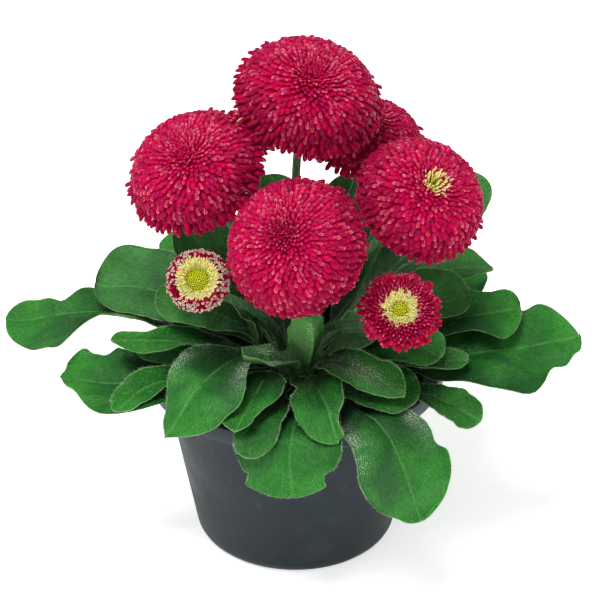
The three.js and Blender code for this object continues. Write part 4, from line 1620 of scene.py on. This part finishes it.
@dataclass
class Rosette:
    """All the leaves, made by one maker and dressed alike."""

    leaves: tuple[Leaf, ...] = LEAVES
    maker: BladeMaker = field(default_factory=BladeMaker)

    def build(self) -> list[Piece]:
        """Makes every leaf.

        Returns:
            The leaves.
        """
        materials = [LeafGreen().make(), PaleHair().make()]
        return [self.maker.make(leaf, 100 + i, materials) for i, leaf in enumerate(self.leaves)]


# Flower heads


@dataclass(frozen=True)
class FloretShape:
    """Section of a floret: rows of place along it, radius and how pale and how deep it is there."""

    rows: tuple[Row, ...]
    sides: int = 7
    flatness: float = 0.8


# A plump tube that tapers to a small open mouth
QUILL = FloretShape(
    (
        (0.0, 0.95, 0, 0), (0.5, 1.05, 0, 0), (0.74, 0.92, 0, 0), (0.89, 0.7, 0, 0),
        (0.975, 0.48, 0.1, 0), (1.0, 0.36, 1, 0), (0.985, 0.25, 1, 0), (0.93, 0.14, 0, 0.4),
    ),
)
# A flat petal with a shallow open end
STRAP = FloretShape(
    (
        (0.0, 0.6, 0, 0), (0.4, 0.88, 0, 0), (0.75, 1.0, 0, 0), (0.92, 0.86, 0, 0),
        (0.985, 0.56, 0.1, 0), (1.0, 0.34, 0.9, 0), (0.99, 0.22, 0.9, 0), (0.94, 0.12, 0, 0.4),
    ),
    flatness=0.55,
)
# A short stub with a round pale head
KNOB = FloretShape(
    (
        (0.0, 0.6, 0, 0), (0.4, 0.78, 0, 0), (0.68, 0.94, 0, 0), (0.84, 0.9, 0.1, 0),
        (0.95, 0.66, 0.6, 0), (1.0, 0.3, 1, 0),
    ),
    flatness=0.9,
)
# A short tube with a wide open pale mouth
FRILL = FloretShape(
    (
        (0.0, 0.6, 0, 0), (0.5, 0.85, 0, 0), (0.86, 0.95, 0, 0), (0.95, 0.86, 0.3, 0),
        (1.0, 0.66, 1, 0), (0.99, 0.44, 1, 0), (0.92, 0.34, 0.2, 0.5), (0.84, 0.2, 0, 0.8),
    ),
    flatness=0.85,
)
# A slender closed tube
THREAD = FloretShape(
    (
        (0.0, 0.7, 0, 0), (0.5, 1.0, 0, 0), (0.85, 0.95, 0.3, 0), (0.97, 0.6, 1, 0),
        (1.0, 0.25, 1, 0),
    ),
    sides=5,
    flatness=0.9,
)


@dataclass
class Seats:
    """Where some florets stand and how each of them is shaped; one row or number per floret."""

    base: Array
    out: Array
    away: Array
    length: Array
    width: Array
    slant: Array
    curl: Array
    shade: Array
    paleness: Array
    # Strength of the painted highlight line along the florets' upper side
    highlight_line: float = 0.0

    def grow(self, skin: Skin, shape: FloretShape) -> None:
        """Adds every floret to a mesh.

        Args:
            skin: The mesh that gets them.
            shape: Their common shape.
        """
        table = np.array(shape.rows)
        angle = np.arange(shape.sides) * 2 * math.pi / shape.sides
        count, rows = len(self.base), len(table)
        end = 1 - self.slant[:, None, None] * (1 + np.cos(angle)) / 2
        s = (table[:, 0][None, :, None] * end)[..., None]
        out, away = self.out[:, None, None], self.away[:, None, None]
        curl, length = self.curl[:, None, None, None], self.length[:, None, None, None]
        centre = self.base[:, None, None] + length * (s * out + 0.5 * curl * s**2 * away)
        direction = unit(out + curl * s * away)
        flat_side = across_to(np.broadcast_to(away, direction.shape), direction)
        beside = np.cross(direction, flat_side)
        radius = (self.width[:, None, None] / 2 * table[:, 1][None, :, None])[..., None]
        around = np.sin(angle)[:, None] * beside
        around = around - np.cos(angle)[:, None] * shape.flatness * flat_side
        rings = centre + radius * around
        middles = np.stack([centre[:, 0].mean(1), centre[:, -1].mean(1)], axis=1)
        points = np.concatenate([rings.reshape(count, -1, 3), middles], axis=1)
        whole = rows * shape.sides
        body = grid_faces(rows, shape.sides, closed=True)
        first = fan_faces(whole, np.arange(shape.sides))
        last = fan_faces(whole + 1, np.arange(whole - shape.sides, whole), flip=True)
        shift = (np.arange(count) * (whole + 2))[:, None, None]
        groups = (body, first, last)
        faces = [(group[None] + shift).reshape(-1, group.shape[1]) for group in groups]
        skin.add(points, faces, **self._values(table, shape, count))

    def _values(self, table: Array, shape: FloretShape, count: int) -> dict[str, Array]:
        """The named values of every point of every floret."""

        def spread(column: Array, scale: Array) -> Array:
            """Repeats one column of the section round the floret and over all florets."""
            ring = np.repeat(column, shape.sides)
            whole = np.concatenate([ring, [column[0], column[-1]]])
            return (whole[None] * scale[:, None]).ravel()

        ones = np.ones(count)
        return {
            "along": spread(table[:, 0], ones),
            "lip": spread(table[:, 2], self.paleness),
            "depth": spread(table[:, 3], ones * 0.85),
            "highlight_line": self._highlight_lines(table, shape, count),
            "shade": spread(np.ones(len(table)), self.shade),
        }

    def _highlight_lines(self, table: Array, shape: FloretShape, count: int) -> Array:
        """A painted highlight: a pale line along the upper side of some of the florets."""
        chosen = np.clip((self.paleness - 0.45) * 3, 0, 0.95) * self.highlight_line
        line = np.zeros((len(table), shape.sides))
        line[:, 0] = smooth(table[:, 0], 0.35, 0.8)
        whole = np.concatenate([line.ravel(), [0, 0]])
        return (whole[None] * chosen[:, None]).ravel()


class Kind(Enum):
    """How a head has opened."""

    DOUBLE = "full dome of quills"
    HALF_OPEN = "open petals round a pale middle"
    LACE = "dense ring of short pale-mouthed florets"


@dataclass(frozen=True)
class Head:
    """One flower head: its place, size and facing, and what its middle looks like."""

    name: str
    centre: Point
    radius: float
    axis: Point
    dome: float
    root: tuple[float, float]
    kind: Kind = Kind.DOUBLE
    eye_radius: float = 0.0
    disc_radius: float = 0.0
    dark_pole: float = 0.0
    shade: float = 0.0
    fringe: float = 1.2
    bowl: float = 0.0
    eye_length: float = 2.5
    eye_open: float = 0.3
    strays: int = 0
    core_share: float = 0.8
    skirt_share: float = 0.2
    well_share: float = 0.34
    sunk_share: float = 0.04

    @property
    def core(self) -> float:
        """Radius of the body that the florets stand on."""
        return self.radius * self.core_share

    @property
    def out(self) -> float:
        """Usual height of a floret over that body."""
        return self.radius - self.core

    @property
    def dome_height(self) -> float:
        """Height of the body above its widest ring."""
        return self.radius * self.dome - self.out

    @property
    def skirt(self) -> float:
        """Depth of the body below its widest ring."""
        return self.radius * self.skirt_share

    def frame(self) -> Array:
        """Rotation that turns +Z onto the head's axis by the shortest way."""
        axis = unit(np.array(self.axis, float))
        x, y, z = axis
        cross = np.array([[0, 0, x], [0, 0, y], [-x, -y, 0]])
        return np.eye(3) + cross + cross @ cross / (1 + z)

    def world(self, points: Array) -> Array:
        """Moves points from the head's own frame to the plant's."""
        return points @ self.frame().T + self.centre

    def lean(self, polar: Array) -> Array:
        """Angle over the level at which a floret stands at an angle from the axis."""
        high = np.arctan2(np.cos(polar) / self.dome_height, np.sin(polar) / self.core)
        return np.where(polar > math.pi / 2, -(polar - math.pi / 2) * 0.9, high)

    def surface(self, polar: Array) -> tuple[Array, Array]:
        """Radius and height of the body at an angle from the axis."""
        height = np.where(polar > math.pi / 2, self.skirt, self.dome_height) * np.cos(polar)
        return self.core * np.sin(polar), height

    def rim_height(self, radius: float) -> float:
        """Height of the body's surface at a radius, on the dome side."""
        return self.dome_height * math.sqrt(1 - (radius / self.core) ** 2)


HEADS: tuple[Head, ...] = (
    Head("1_top", (4.4, 26, 158), 24.5, (0.18, -0.37, 0.91), 0.62, (80, 0.8), fringe=1.45),
    Head("2_left", (-34, 2, 142), 22.8, (-0.3, -0.46, 0.84), 0.66, (165, 5.2), fringe=1.5),
    Head("3_front", (0.5, -32, 132), 23.7, (-0.29, -0.63, 0.72), 0.76, (268, 5.2), dark_pole=1.0),
    Head(
        "4_right", (42.5, -7, 136), 22.2, (0.33, -0.54, 0.775), 0.72, (2, 5.2),
        eye_radius=2.6, bowl=0.1, eye_length=5.6, eye_open=0.3,
    ),
    Head(
        "5_back_right", (24.6, 48, 129), 20.4, (0.1, -0.1, 0.99), 0.66, (50, 5.2),
        shade=0.5, fringe=1.5,
    ),
    Head(
        "6_back_left", (-16, 38, 137.5), 11, (0.05, -0.3, 0.95), 0.6, (112, 5.2),
        Kind.HALF_OPEN, eye_radius=3.2, eye_length=4.6, eye_open=1.1, strays=60,
    ),
    Head(
        "7_small_left", (-32.8, -30, 117.9), 11, (-0.08, -0.72, 0.69), 0.46, (217, 5.2),
        Kind.LACE, eye_radius=6, disc_radius=3.6, bowl=0.85,
    ),
    Head(
        "8_small_right", (35.2, -38, 110.6), 13.6, (0.04, -0.62, 0.78), 0.42, (316, 5.2),
        Kind.HALF_OPEN, eye_radius=5.8, disc_radius=2.4, bowl=0.6, shade=0.9,
    ),
)


@dataclass
class HeadMaker:
    """Shared making of a head's florets: their spiral order and their seats."""

    head: Head
    seed: int
    bright_share: float = 0.34

    def __post_init__(self) -> None:
        """Starts the source of small differences."""
        self.rng = np.random.default_rng(self.seed)

    def spiral(
        self, low_deg: float, high_deg: float, near: float, far: float, grow_deg: float
    ) -> Array:
        """Places florets evenly in a spiral, from the middle out.

        Args:
            low_deg: Angle from the axis of the innermost ones.
            high_deg: Angle from the axis of the outermost ones.
            near: Distance between neighbours in the middle.
            far: Distance between neighbours further out.
            grow_deg: Angle from the axis at which they have their full distance.

        Returns:
            Rows of angle from the axis, angle round it, and distance to the neighbours.
        """
        polar = np.radians(np.linspace(low_deg, high_deg, 500))
        radius, height = self.head.surface(polar)
        lean = self.head.lean(polar)
        out = self.head.out
        tip = np.stack([radius + out * np.cos(lean), height + out * np.sin(lean)], -1)
        step = np.concatenate([[0], np.linalg.norm(np.diff(tip, axis=0), axis=1)])
        pitch = near + (far - near) * smooth(np.degrees(polar), 0, grow_deg)
        total = np.cumsum(step * 2 * math.pi * tip[:, 0] / pitch**2 * 1.1)
        count = int(total[-1])
        order = (np.arange(count) + 0.5) / count * total[-1]
        place = np.interp(order, total, polar)
        around = np.arange(count) * GOLDEN_ANGLE
        return np.column_stack([place, around, np.interp(place, polar, pitch)])

    def seats(
        self,
        spots: Array,
        length: float,
        fill: float,
        slant: tuple[float, float],
        curl: float,
        scatter: float = 0.06,
        spread: float = 0.1,
        tilt: float = 0.0,
    ) -> Seats:
        """Turns places into seats.

        Args:
            spots: Rows of angle from the axis, angle round it, and distance to the neighbours.
            length: Length of a floret over the body.
            fill: Width of a floret as a share of the distance to its neighbours.
            slant: Least and most slant of the mouths.
            curl: How much the florets curl away from the axis.
            scatter: How far they lean out of line.
            spread: By what share their reaches differ.
            tilt: Angle by which they lie back from the surface's own direction, beyond the middle.

        Returns:
            The seats.
        """
        count = len(spots)
        polar = spots[:, 0] + self.rng.normal(scale=0.012, size=count)
        around = spots[:, 1] + self.rng.normal(scale=0.02, size=count)
        radius, height = self.head.surface(polar)
        normal = self.head.lean(polar)
        outward = np.stack([np.cos(around), np.sin(around), np.zeros(count)], -1)
        reach = (self.head.out * (1 + self.rng.uniform(-spread, spread, count)))[:, None]
        reach = reach + (length - self.head.out) * math.cos(tilt)
        tip = outward * (radius[:, None] + reach * np.cos(normal)[:, None])
        tip = tip + UP * (height[:, None] + reach * np.sin(normal)[:, None])
        lean = normal - tilt * smooth(np.degrees(polar), 5, 45)
        lean = lean + self.rng.normal(scale=scatter, size=count)
        cos, sin = np.cos(lean)[:, None], np.sin(lean)[:, None]
        sideways = np.cross(UP, outward) * self.rng.normal(scale=scatter, size=(count, 1))
        out = unit(outward * cos + UP * sin + sideways)
        away = outward * sin - UP * cos
        bend = curl + self.rng.normal(scale=0.08, size=count)
        whole = length + self.head.core * self.head.sunk_share
        base = tip - (out + 0.5 * bend[:, None] * away) * whole
        turn = self.head.frame().T
        return Seats(
            base=self.head.world(base),
            out=out @ turn,
            away=away @ turn,
            length=np.full(count, whole),
            width=spots[:, 2] * fill * self.rng.uniform(0.9, 1.08, count),
            slant=self.rng.uniform(*slant, count),
            curl=bend,
            shade=np.clip(self.rng.normal(0.25, 0.25, count) + self.head.shade, 0, 1),
            paleness=self._mouths(count),
        )

    def _mouths(self, count: int) -> Array:
        """How pale each floret's mouth is: about a third of them stand out."""
        bright = self.rng.uniform(size=count) < self.bright_share
        pale = self.rng.uniform(0.5, 1, count)
        return np.where(bright, pale, self.rng.uniform(0, 0.15, count))

    def rising(self, outward: Array, lean: Array) -> Array:
        """Directions up the head's axis that lean outward, with small differences."""
        out = UP + outward * lean
        return unit(out + self.rng.normal(scale=0.06, size=outward.shape))

    def flat_seats(self, places: Array, outward: Array, out: Array, **looks: Array) -> Seats:
        """Seats of florets that stand close together in the head's open middle.

        Args:
            places: Where they stand in the head's own frame.
            outward: Unit vectors away from the axis.
            out: Directions in which they grow.
            **looks: Their length, width, curl, shade and paleness.

        Returns:
            The seats.
        """
        turn = self.head.frame().T
        away = across_to(outward, out) @ turn
        upright = np.zeros(len(out))
        return Seats(self.head.world(places), out @ turn, away, slant=upright, **looks)


@dataclass
class RedHead(HeadMaker):
    """The red part of a head: a body, and the florets that each kind of head has on it."""

    swell: float = 1.15

    def build(self, petal: Material, body: Material) -> Piece:
        """Makes the red part and lets it stand for its solid.

        Args:
            petal: The florets' material.
            body: The material of the body under them.

        Returns:
            The red part.
        """
        head = self.head
        skin = Skin()
        self._body(skin)
        self.florets(skin)
        piece = skin.to_object(f"quills_{head.name}", [petal, body])
        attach(piece, "root")
        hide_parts(f"florets_{head.name}")
        return piece

    def florets(self, skin: Skin) -> None:
        """Adds the florets, in the way of each kind of head."""
        raise NotImplementedError

    def start(self, margin: float) -> float:
        """Angle from the axis, in degrees, at which the florets begin beyond the eye."""
        return math.degrees(math.asin((self.head.eye_radius + margin) / self.head.core))

    def _body(self, skin: Skin) -> None:
        """Adds the body under the florets, with a well for the eye."""
        head, swell = self.head, self.swell
        polar = np.radians(np.linspace(118, 1, 26))
        radius, height = head.surface(polar)
        outline = np.column_stack([radius, height]) * swell
        if head.eye_radius:
            wall = head.eye_radius + CLEARANCE
            outline = outline[outline[:, 0] > wall]
            outline = outline[: np.argmax(outline[:, 1]) + 1]
            well = head.rim_height(wall) - head.radius * head.well_share
            lip = head.rim_height(wall) * swell
            outline = np.vstack([outline, [[wall, lip], [wall, well], [0, well]]])
        else:
            outline = np.vstack([outline, [0, outline[-1, 1]]])
        bottom = -head.skirt
        outline = np.vstack([[0, bottom], [head.core * 0.6, bottom], outline])
        points, faces = turned(outline, 40)
        skin.add(head.world(points), faces, Coat.SECOND)


@dataclass
class DoubleHead(RedHead):
    """A full dome of crimson quills, with a fringe of flat petals under it."""

    swell: float = 1.17
    near: float = 1.25
    far: float = 2.4
    fringe_deg: float = 86.0

    def florets(self, skin: Skin) -> None:
        """Adds the quills of the dome and the petals of the fringe."""
        head = self.head
        start = self.start(0.6) if head.eye_radius else 1.5
        spots = self.spiral(start, self.fringe_deg, self.near, self.far, 60)
        quills = self.seats(spots, head.out * 1.08, 1.2, (0.04, 0.2), 0.25, spread=0.05, tilt=0.52)
        quills.highlight_line = 1.0
        quills.shade += 0.7 * smooth(np.degrees(spots[:, 0]), 40, self.fringe_deg)
        # Painted highlight: florets that point up get paler mouths, as if lit from above.
        quills.paleness += 0.22 * smooth(quills.out[:, 2], 0.5, 1.0)
        self._shape_pole(quills, spots)
        quills.grow(skin, QUILL)
        fringe = self.spiral(self.fringe_deg, 110, 2.1, 2.1, 50)
        petals = self.seats(fringe, head.out * head.fringe, 0.95, (0.02, 0.12), 0.2, 0.1, 0.2, 0.3)
        petals.shade = np.clip(petals.shade + 0.7, 0, 1)
        petals.grow(skin, STRAP)

    def _shape_pole(self, quills: Seats, spots: Array) -> None:
        """Draws the innermost florets back and darkens them."""
        middle = 1 - smooth(np.degrees(spots[:, 0]), 4, 22)
        quills.length *= 1 - 0.22 * middle
        quills.paleness *= 1 - 0.7 * middle
        quills.shade = np.clip(quills.shade + self.head.dark_pole * middle, 0, 1)


@dataclass
class HalfOpenHead(RedHead):
    """A small head with open crimson petals round a pale middle."""

    petal_deg: float = 80.0

    def florets(self, skin: Skin) -> None:
        """Adds short quills round the eye and open petals beyond them."""
        head = self.head
        start = self.start(0.5)
        inner = self.spiral(start, self.petal_deg, 1.0, 1.55, 90)
        quills = self.seats(inner, head.out * 1.1, 0.86, (0.1, 0.3), 0.25, 0.1, 0.12, 0.15)
        quills.paleness += 0.7 * (1 - smooth(np.degrees(inner[:, 0]), start, start + 14))
        quills.highlight_line = 0.5
        quills.grow(skin, QUILL)
        outer = self.spiral(self.petal_deg, 104, 1.9, 2.1, 90)
        petals = self.seats(outer, head.out * 1.2, 0.8, (0.1, 0.35), -0.1, 0.2, 0.4, 0.1)
        petals.grow(skin, STRAP)


@dataclass
class LaceHead(RedHead):
    """A young head: a dense ring of short dark florets with wide pale mouths."""

    pale_share: float = 0.7

    def florets(self, skin: Skin) -> None:
        """Adds the short florets."""
        head = self.head
        spots = self.spiral(self.start(1.5 * head.bowl), 104, 1.05, 1.3, 90)
        seats = self.seats(spots, head.out, 0.96, (0.0, 0.35), 0.1, 0.2, 0.18)
        chosen = self.rng.uniform(size=len(spots)) < self.pale_share
        seats.paleness = chosen * self.rng.uniform(0.7, 1, len(spots))
        seats.grow(skin, FRILL)


@dataclass
class PaleEye(HeadMaker):
    """The pale slender florets in a head's middle, in the well of its core."""

    pitch: float = 0.52

    def build(self, pale: Material) -> Piece:
        """Makes the eye and lets it stand for its solid.

        Args:
            pale: The florets' material.

        Returns:
            The eye.
        """
        head = self.head
        inner = head.disc_radius + 0.1
        outer = head.eye_radius - (0.6 if head.disc_radius else 0.1)
        count = int(math.pi * (head.eye_radius**2 - inner**2) / self.pitch**2 * 1.25)
        _, radius, outward = ring_places(count, inner, outer)
        floor = head.rim_height(head.eye_radius) - 1.2
        edge = smooth(radius, inner, head.eye_radius)
        length = head.eye_length * (1 + 0.3 * head.bowl)
        lean = head.eye_open * (0.75 + 0.5 * edge)[:, None]
        lean = lean + self.rng.normal(scale=0.1, size=(count, 1))
        seats = self.flat_seats(
            outward * radius[:, None] + UP * floor,
            outward,
            self.rising(outward, lean),
            length=length * (0.8 + 0.3 * edge) * self.rng.uniform(0.88, 1.12, count),
            width=np.full(count, self.pitch) * self.rng.uniform(1.05, 1.35, count),
            curl=head.bowl + self.rng.normal(scale=0.15, size=count),
            shade=np.clip(self.rng.normal(0.2, 0.2, count) + 0.3 * (1 - edge), 0, 1),
            paleness=np.clip(self.rng.normal(0.5, 0.3, count) + 0.5 * edge, 0, 1),
        )
        skin = Skin()
        seats.grow(skin, THREAD)
        if head.strays:
            self._side(skin)
        well = head.rim_height(head.eye_radius + CLEARANCE) - head.radius * head.well_share
        bottom = well + CLEARANCE
        top = floor + 1.0
        plug = [(0, bottom), (head.eye_radius, bottom), (head.eye_radius, top)]
        if head.disc_radius:
            wall, seat = head.disc_radius + CLEARANCE, bottom + 1.2
            plug += [(wall, top), (wall, seat), (0, seat)]
        else:
            plug += [(0, top)]
        points, faces = turned(np.array(plug, float), 32)
        skin.add(head.world(points), faces, shade=1.0)
        piece = skin.to_object(f"cream_{head.name}", [pale])
        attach(piece, "root")
        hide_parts(f"eye_{head.name}")
        return piece

    def _side(self, skin: Skin) -> None:
        """Adds pale florets that have opened on the front left side of the head."""
        count = self.head.strays
        polar = np.radians(self.rng.uniform(20, 80, count))
        around = np.radians(self.rng.uniform(185, 290, count))
        spots = np.column_stack([polar, around, np.full(count, 2.3)])
        seats = self.seats(spots, self.head.out * 1.9, 1.0, (0.0, 0.2), 0.3, 0.1, 0.05)
        seats.grow(skin, STRAP)


@dataclass
class Disc(HeadMaker):
    """The low yellow cushion of tiny buds in the middle of an open head."""

    pitch: float = 0.66
    sunk: float = 0.7
    rise: float = 0.9

    def build(self, button: Material) -> Piece:
        """Makes the cushion and lets it stand for its solid.

        Args:
            button: The buds' material.

        Returns:
            The cushion.
        """
        head = self.head
        count = int(math.pi * head.disc_radius**2 / self.pitch**2 * 1.1)
        order, radius, outward = ring_places(count, 0, head.disc_radius)
        rim = head.rim_height(head.eye_radius) - self.sunk * head.bowl
        height = rim - self.rise + self.rise * np.sqrt(1 - order * 0.96)
        seats = self.flat_seats(
            outward * radius[:, None] + UP * height[:, None],
            outward,
            self.rising(outward, (0.5 * order)[:, None]),
            length=self.rng.uniform(0.7, 1.15, count),
            width=np.full(count, self.pitch * (1.05 - 0.2 * head.bowl)),
            curl=np.zeros(count),
            shade=self.rng.uniform(0, 0.6, count),
            paleness=self.rng.uniform(0.2, 1, count),
        )
        skin = Skin()
        seats.grow(skin, KNOB)
        well = head.radius * head.well_share * 0.6
        bottom = head.rim_height(head.eye_radius + CLEARANCE) - well + 2 * CLEARANCE
        places = np.linspace(head.disc_radius * 0.98, 0.2, 10)
        fall = [math.sqrt(1 - (r / head.disc_radius) ** 2 * 0.96) for r in places]
        dome = [(r, rim - 0.85 + self.rise * share) for r, share in zip(places, fall)]
        outline = [(0, bottom), (head.disc_radius, bottom), *dome, (0, rim + 0.05)]
        points, faces = turned(np.array(outline, float), 32)
        skin.add(head.world(points), faces, shade=1.0)
        piece = skin.to_object(f"buttons_{head.name}", [button])
        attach(piece, "root")
        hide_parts(f"disc_{head.name}")
        return piece


@dataclass
class Stalk(HeadMaker):
    """A flower stalk with its green cone and two rows of bracts under the head."""

    radius: float = 1.5
    root_height: float = 70.0
    rise: float = 0.4
    turn: float = 0.3
    cone_height: float = 4.5
    bracts: int = 13
    bract_thickness: float = 0.35
    bract_hair: float = 0.6
    hair: float = 0.75
    hair_count: int = 420
    sides: int = 14
    rings: int = 44

    def _path(self) -> tuple[Array, Array]:
        """Points and directions up the stalk."""
        head = self.head
        axis = unit(np.array(head.axis, float))
        seat = -head.skirt - CLEARANCE
        end = np.array(head.centre) + axis * (seat - self.cone_height * 0.6)
        azimuth, reach = math.radians(head.root[0]), head.root[1]
        root = np.array([reach * math.cos(azimuth), reach * math.sin(azimuth), self.root_height])
        length = np.linalg.norm(end - root)
        handles = [root, root + [0, 0, length * self.rise], end - axis * length * self.turn, end]
        t = np.linspace(0, 1, self.rings)[:, None]
        weights = [(1 - t) ** 3, 3 * (1 - t) ** 2 * t, 3 * (1 - t) * t**2, t**3]
        track = sum(w * h for w, h in zip(weights, handles))
        return track, unit(np.gradient(track, axis=0))

    def build(self, materials: list[Material]) -> Piece:
        """Makes the stalk and lets it stand for its solid.

        Args:
            materials: The stalk's green and its hairs.

        Returns:
            The stalk.
        """
        track, direction = self._path()
        side = across_to(np.broadcast_to([1.0, 0.3, 0.0], direction.shape), direction)
        other = np.cross(direction, side)
        angle = np.arange(self.sides) * 2 * math.pi / self.sides
        rib = 1 + 0.06 * np.cos(angle * 5)
        share = np.linspace(0, 1, self.rings)[:, None]
        radius = self.radius * (0.94 + 0.1 * (1 - share)) * rib
        ring = np.cos(angle)[:, None] * side[:, None] + np.sin(angle)[:, None] * other[:, None]
        tube = track[:, None] + ring * radius[..., None]
        skin = Skin()
        last = self.rings * self.sides
        ends = [track[0], track[-1]]
        faces = [
            grid_faces(self.rings, self.sides, closed=True, flip=True),
            fan_faces(last, np.arange(self.sides), flip=True),
            fan_faces(last + 1, np.arange(last - self.sides, last)),
        ]
        paleness = np.linspace(0.1, 0.8, self.rings)
        along = np.concatenate([np.repeat(paleness, self.sides), paleness[[0, -1]]])
        skin.add(np.vstack([tube.reshape(-1, 3), ends]), faces, along=along)
        self._cone(skin)
        self._bracts(skin, 0.95, 0.0, 0.72)
        self._bracts(skin, 0.82, 0.5, 0.55)
        pick = self.rng.integers(0, self.sides, self.hair_count)
        level = self.rng.integers(6, self.rings, self.hair_count)
        hairs(skin, self.rng, tube[level, pick], ring[level, pick], self.hair)
        piece = skin.to_object(f"stem_{self.head.name}", materials)
        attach(piece, "root")
        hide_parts(f"stalk_{self.head.name}")
        return piece

    def _cone(self, skin: Skin) -> None:
        """Adds the cone that widens to the head."""
        head = self.head
        seat = -head.skirt - CLEARANCE
        width = head.radius * 0.25
        heights = np.linspace(0, 1, 9)
        slim = self.radius * 1.05
        radii = slim + (width - slim) * heights**1.6
        outline = np.column_stack([radii, seat - self.cone_height * (1 - heights)])
        outline = np.vstack([[0, seat - self.cone_height], outline, [0, seat]])
        points, faces = turned(outline, 24)
        skin.add(head.world(points), faces, along=0.6)

    def _bracts(self, skin: Skin, reach_share: float, turn: float, slope: float) -> None:
        """Adds one row of pointed bracts that hug the head's underside.

        Args:
            skin: The mesh that gets them.
            reach_share: How far out they reach, as a share of the head's core.
            turn: Where the row starts, in bracts.
            slope: How far below the head's rim the tips stay, as a share of its skirt.
        """
        head = self.head
        rows, columns = 8, 5
        start = head.radius * 0.2
        reach = head.core * reach_share
        along = np.linspace(0, 1, rows)
        across = np.linspace(-1, 1, columns)
        low = -head.skirt - CLEARANCE - 0.9
        tip = -head.skirt * slope - 0.5
        paleness = np.tile(np.repeat(0.3 + 0.5 * along, columns), 2)
        for i in range(self.bracts):
            angle = (i + turn) * 2 * math.pi / self.bracts + self.rng.normal(scale=0.05)
            radius = start + (reach * self.rng.uniform(0.92, 1.05) - start) * along
            height = low + (tip - low) * along**2.2
            half = (0.42 + 0.16 * head.core * np.sin(math.pi * along**0.75)) * (1 - 0.9 * along**4)
            outward = np.array([math.cos(angle), math.sin(angle), 0])
            beside = np.array([-math.sin(angle), math.cos(angle), 0])
            middle = outward * radius[:, None] + UP * height[:, None]
            sheet = middle[:, None] + beside * (half[:, None] * across)[..., None]
            sheet[..., 2] += 0.35 * np.abs(across) ** 1.5 * half[:, None]
            lower = sheet - UP * self.bract_thickness
            points, faces = slab(sheet, lower)
            skin.add(head.world(points), faces, along=paleness)
            outer = head.world(lower.reshape(-1, 3))
            down = unit(np.broadcast_to(-np.array(head.axis, float), outer.shape))
            hairs(skin, self.rng, outer, down, self.bract_hair)


@dataclass
class Flowers:
    """All the flower heads with their stalks."""

    heads: tuple[Head, ...] = HEADS

    def build(self) -> list[Piece]:
        """Makes every head, eye, disc and stalk.

        Returns:
            The pieces.
        """
        crimson, lace, cream = CRIMSON.make(), LACE.make(), CREAM.make()
        button = BUTTON.make()
        core = FloretCore().make()
        green = [StalkGreen().make(), PaleHair().make()]
        makers = {
            Kind.DOUBLE: (DoubleHead, crimson),
            Kind.HALF_OPEN: (HalfOpenHead, crimson),
            Kind.LACE: (LaceHead, lace),
        }
        pieces = []
        for i, head in enumerate(self.heads):
            seed = 500 + 10 * i
            pieces.append(Stalk(head, seed).build(green))
            maker, petal = makers[head.kind]
            pieces.append(maker(head, seed + 1).build(petal, core))
            if head.eye_radius:
                pieces.append(PaleEye(head, seed + 2).build(cream))
            if head.disc_radius:
                pieces.append(Disc(head, seed + 3).build(button))
        return pieces


def corners(bounds: object) -> list:
    """Turns a box into plain lists of numbers."""
    return [[float(c) for c in corner] for corner in bounds]


def main() -> None:
    logging.basicConfig(level=logging.INFO, format="%(message)s")
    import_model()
    Studio().build()
    pot = Pot()
    pieces = [pot.build(), Soil(pot).build(), Crown().build()]
    pieces += [*Rosette().build(), *Flowers().build()]
    total = 0
    for piece in pieces:
        triangles = sum(len(face.vertices) - 2 for face in piece.data.polygons)
        total += triangles
        log.info("%s: %d triangles", piece.name, triangles)
    log.info("all pieces: %d triangles", total)


if __name__ == "__main__":
    main()
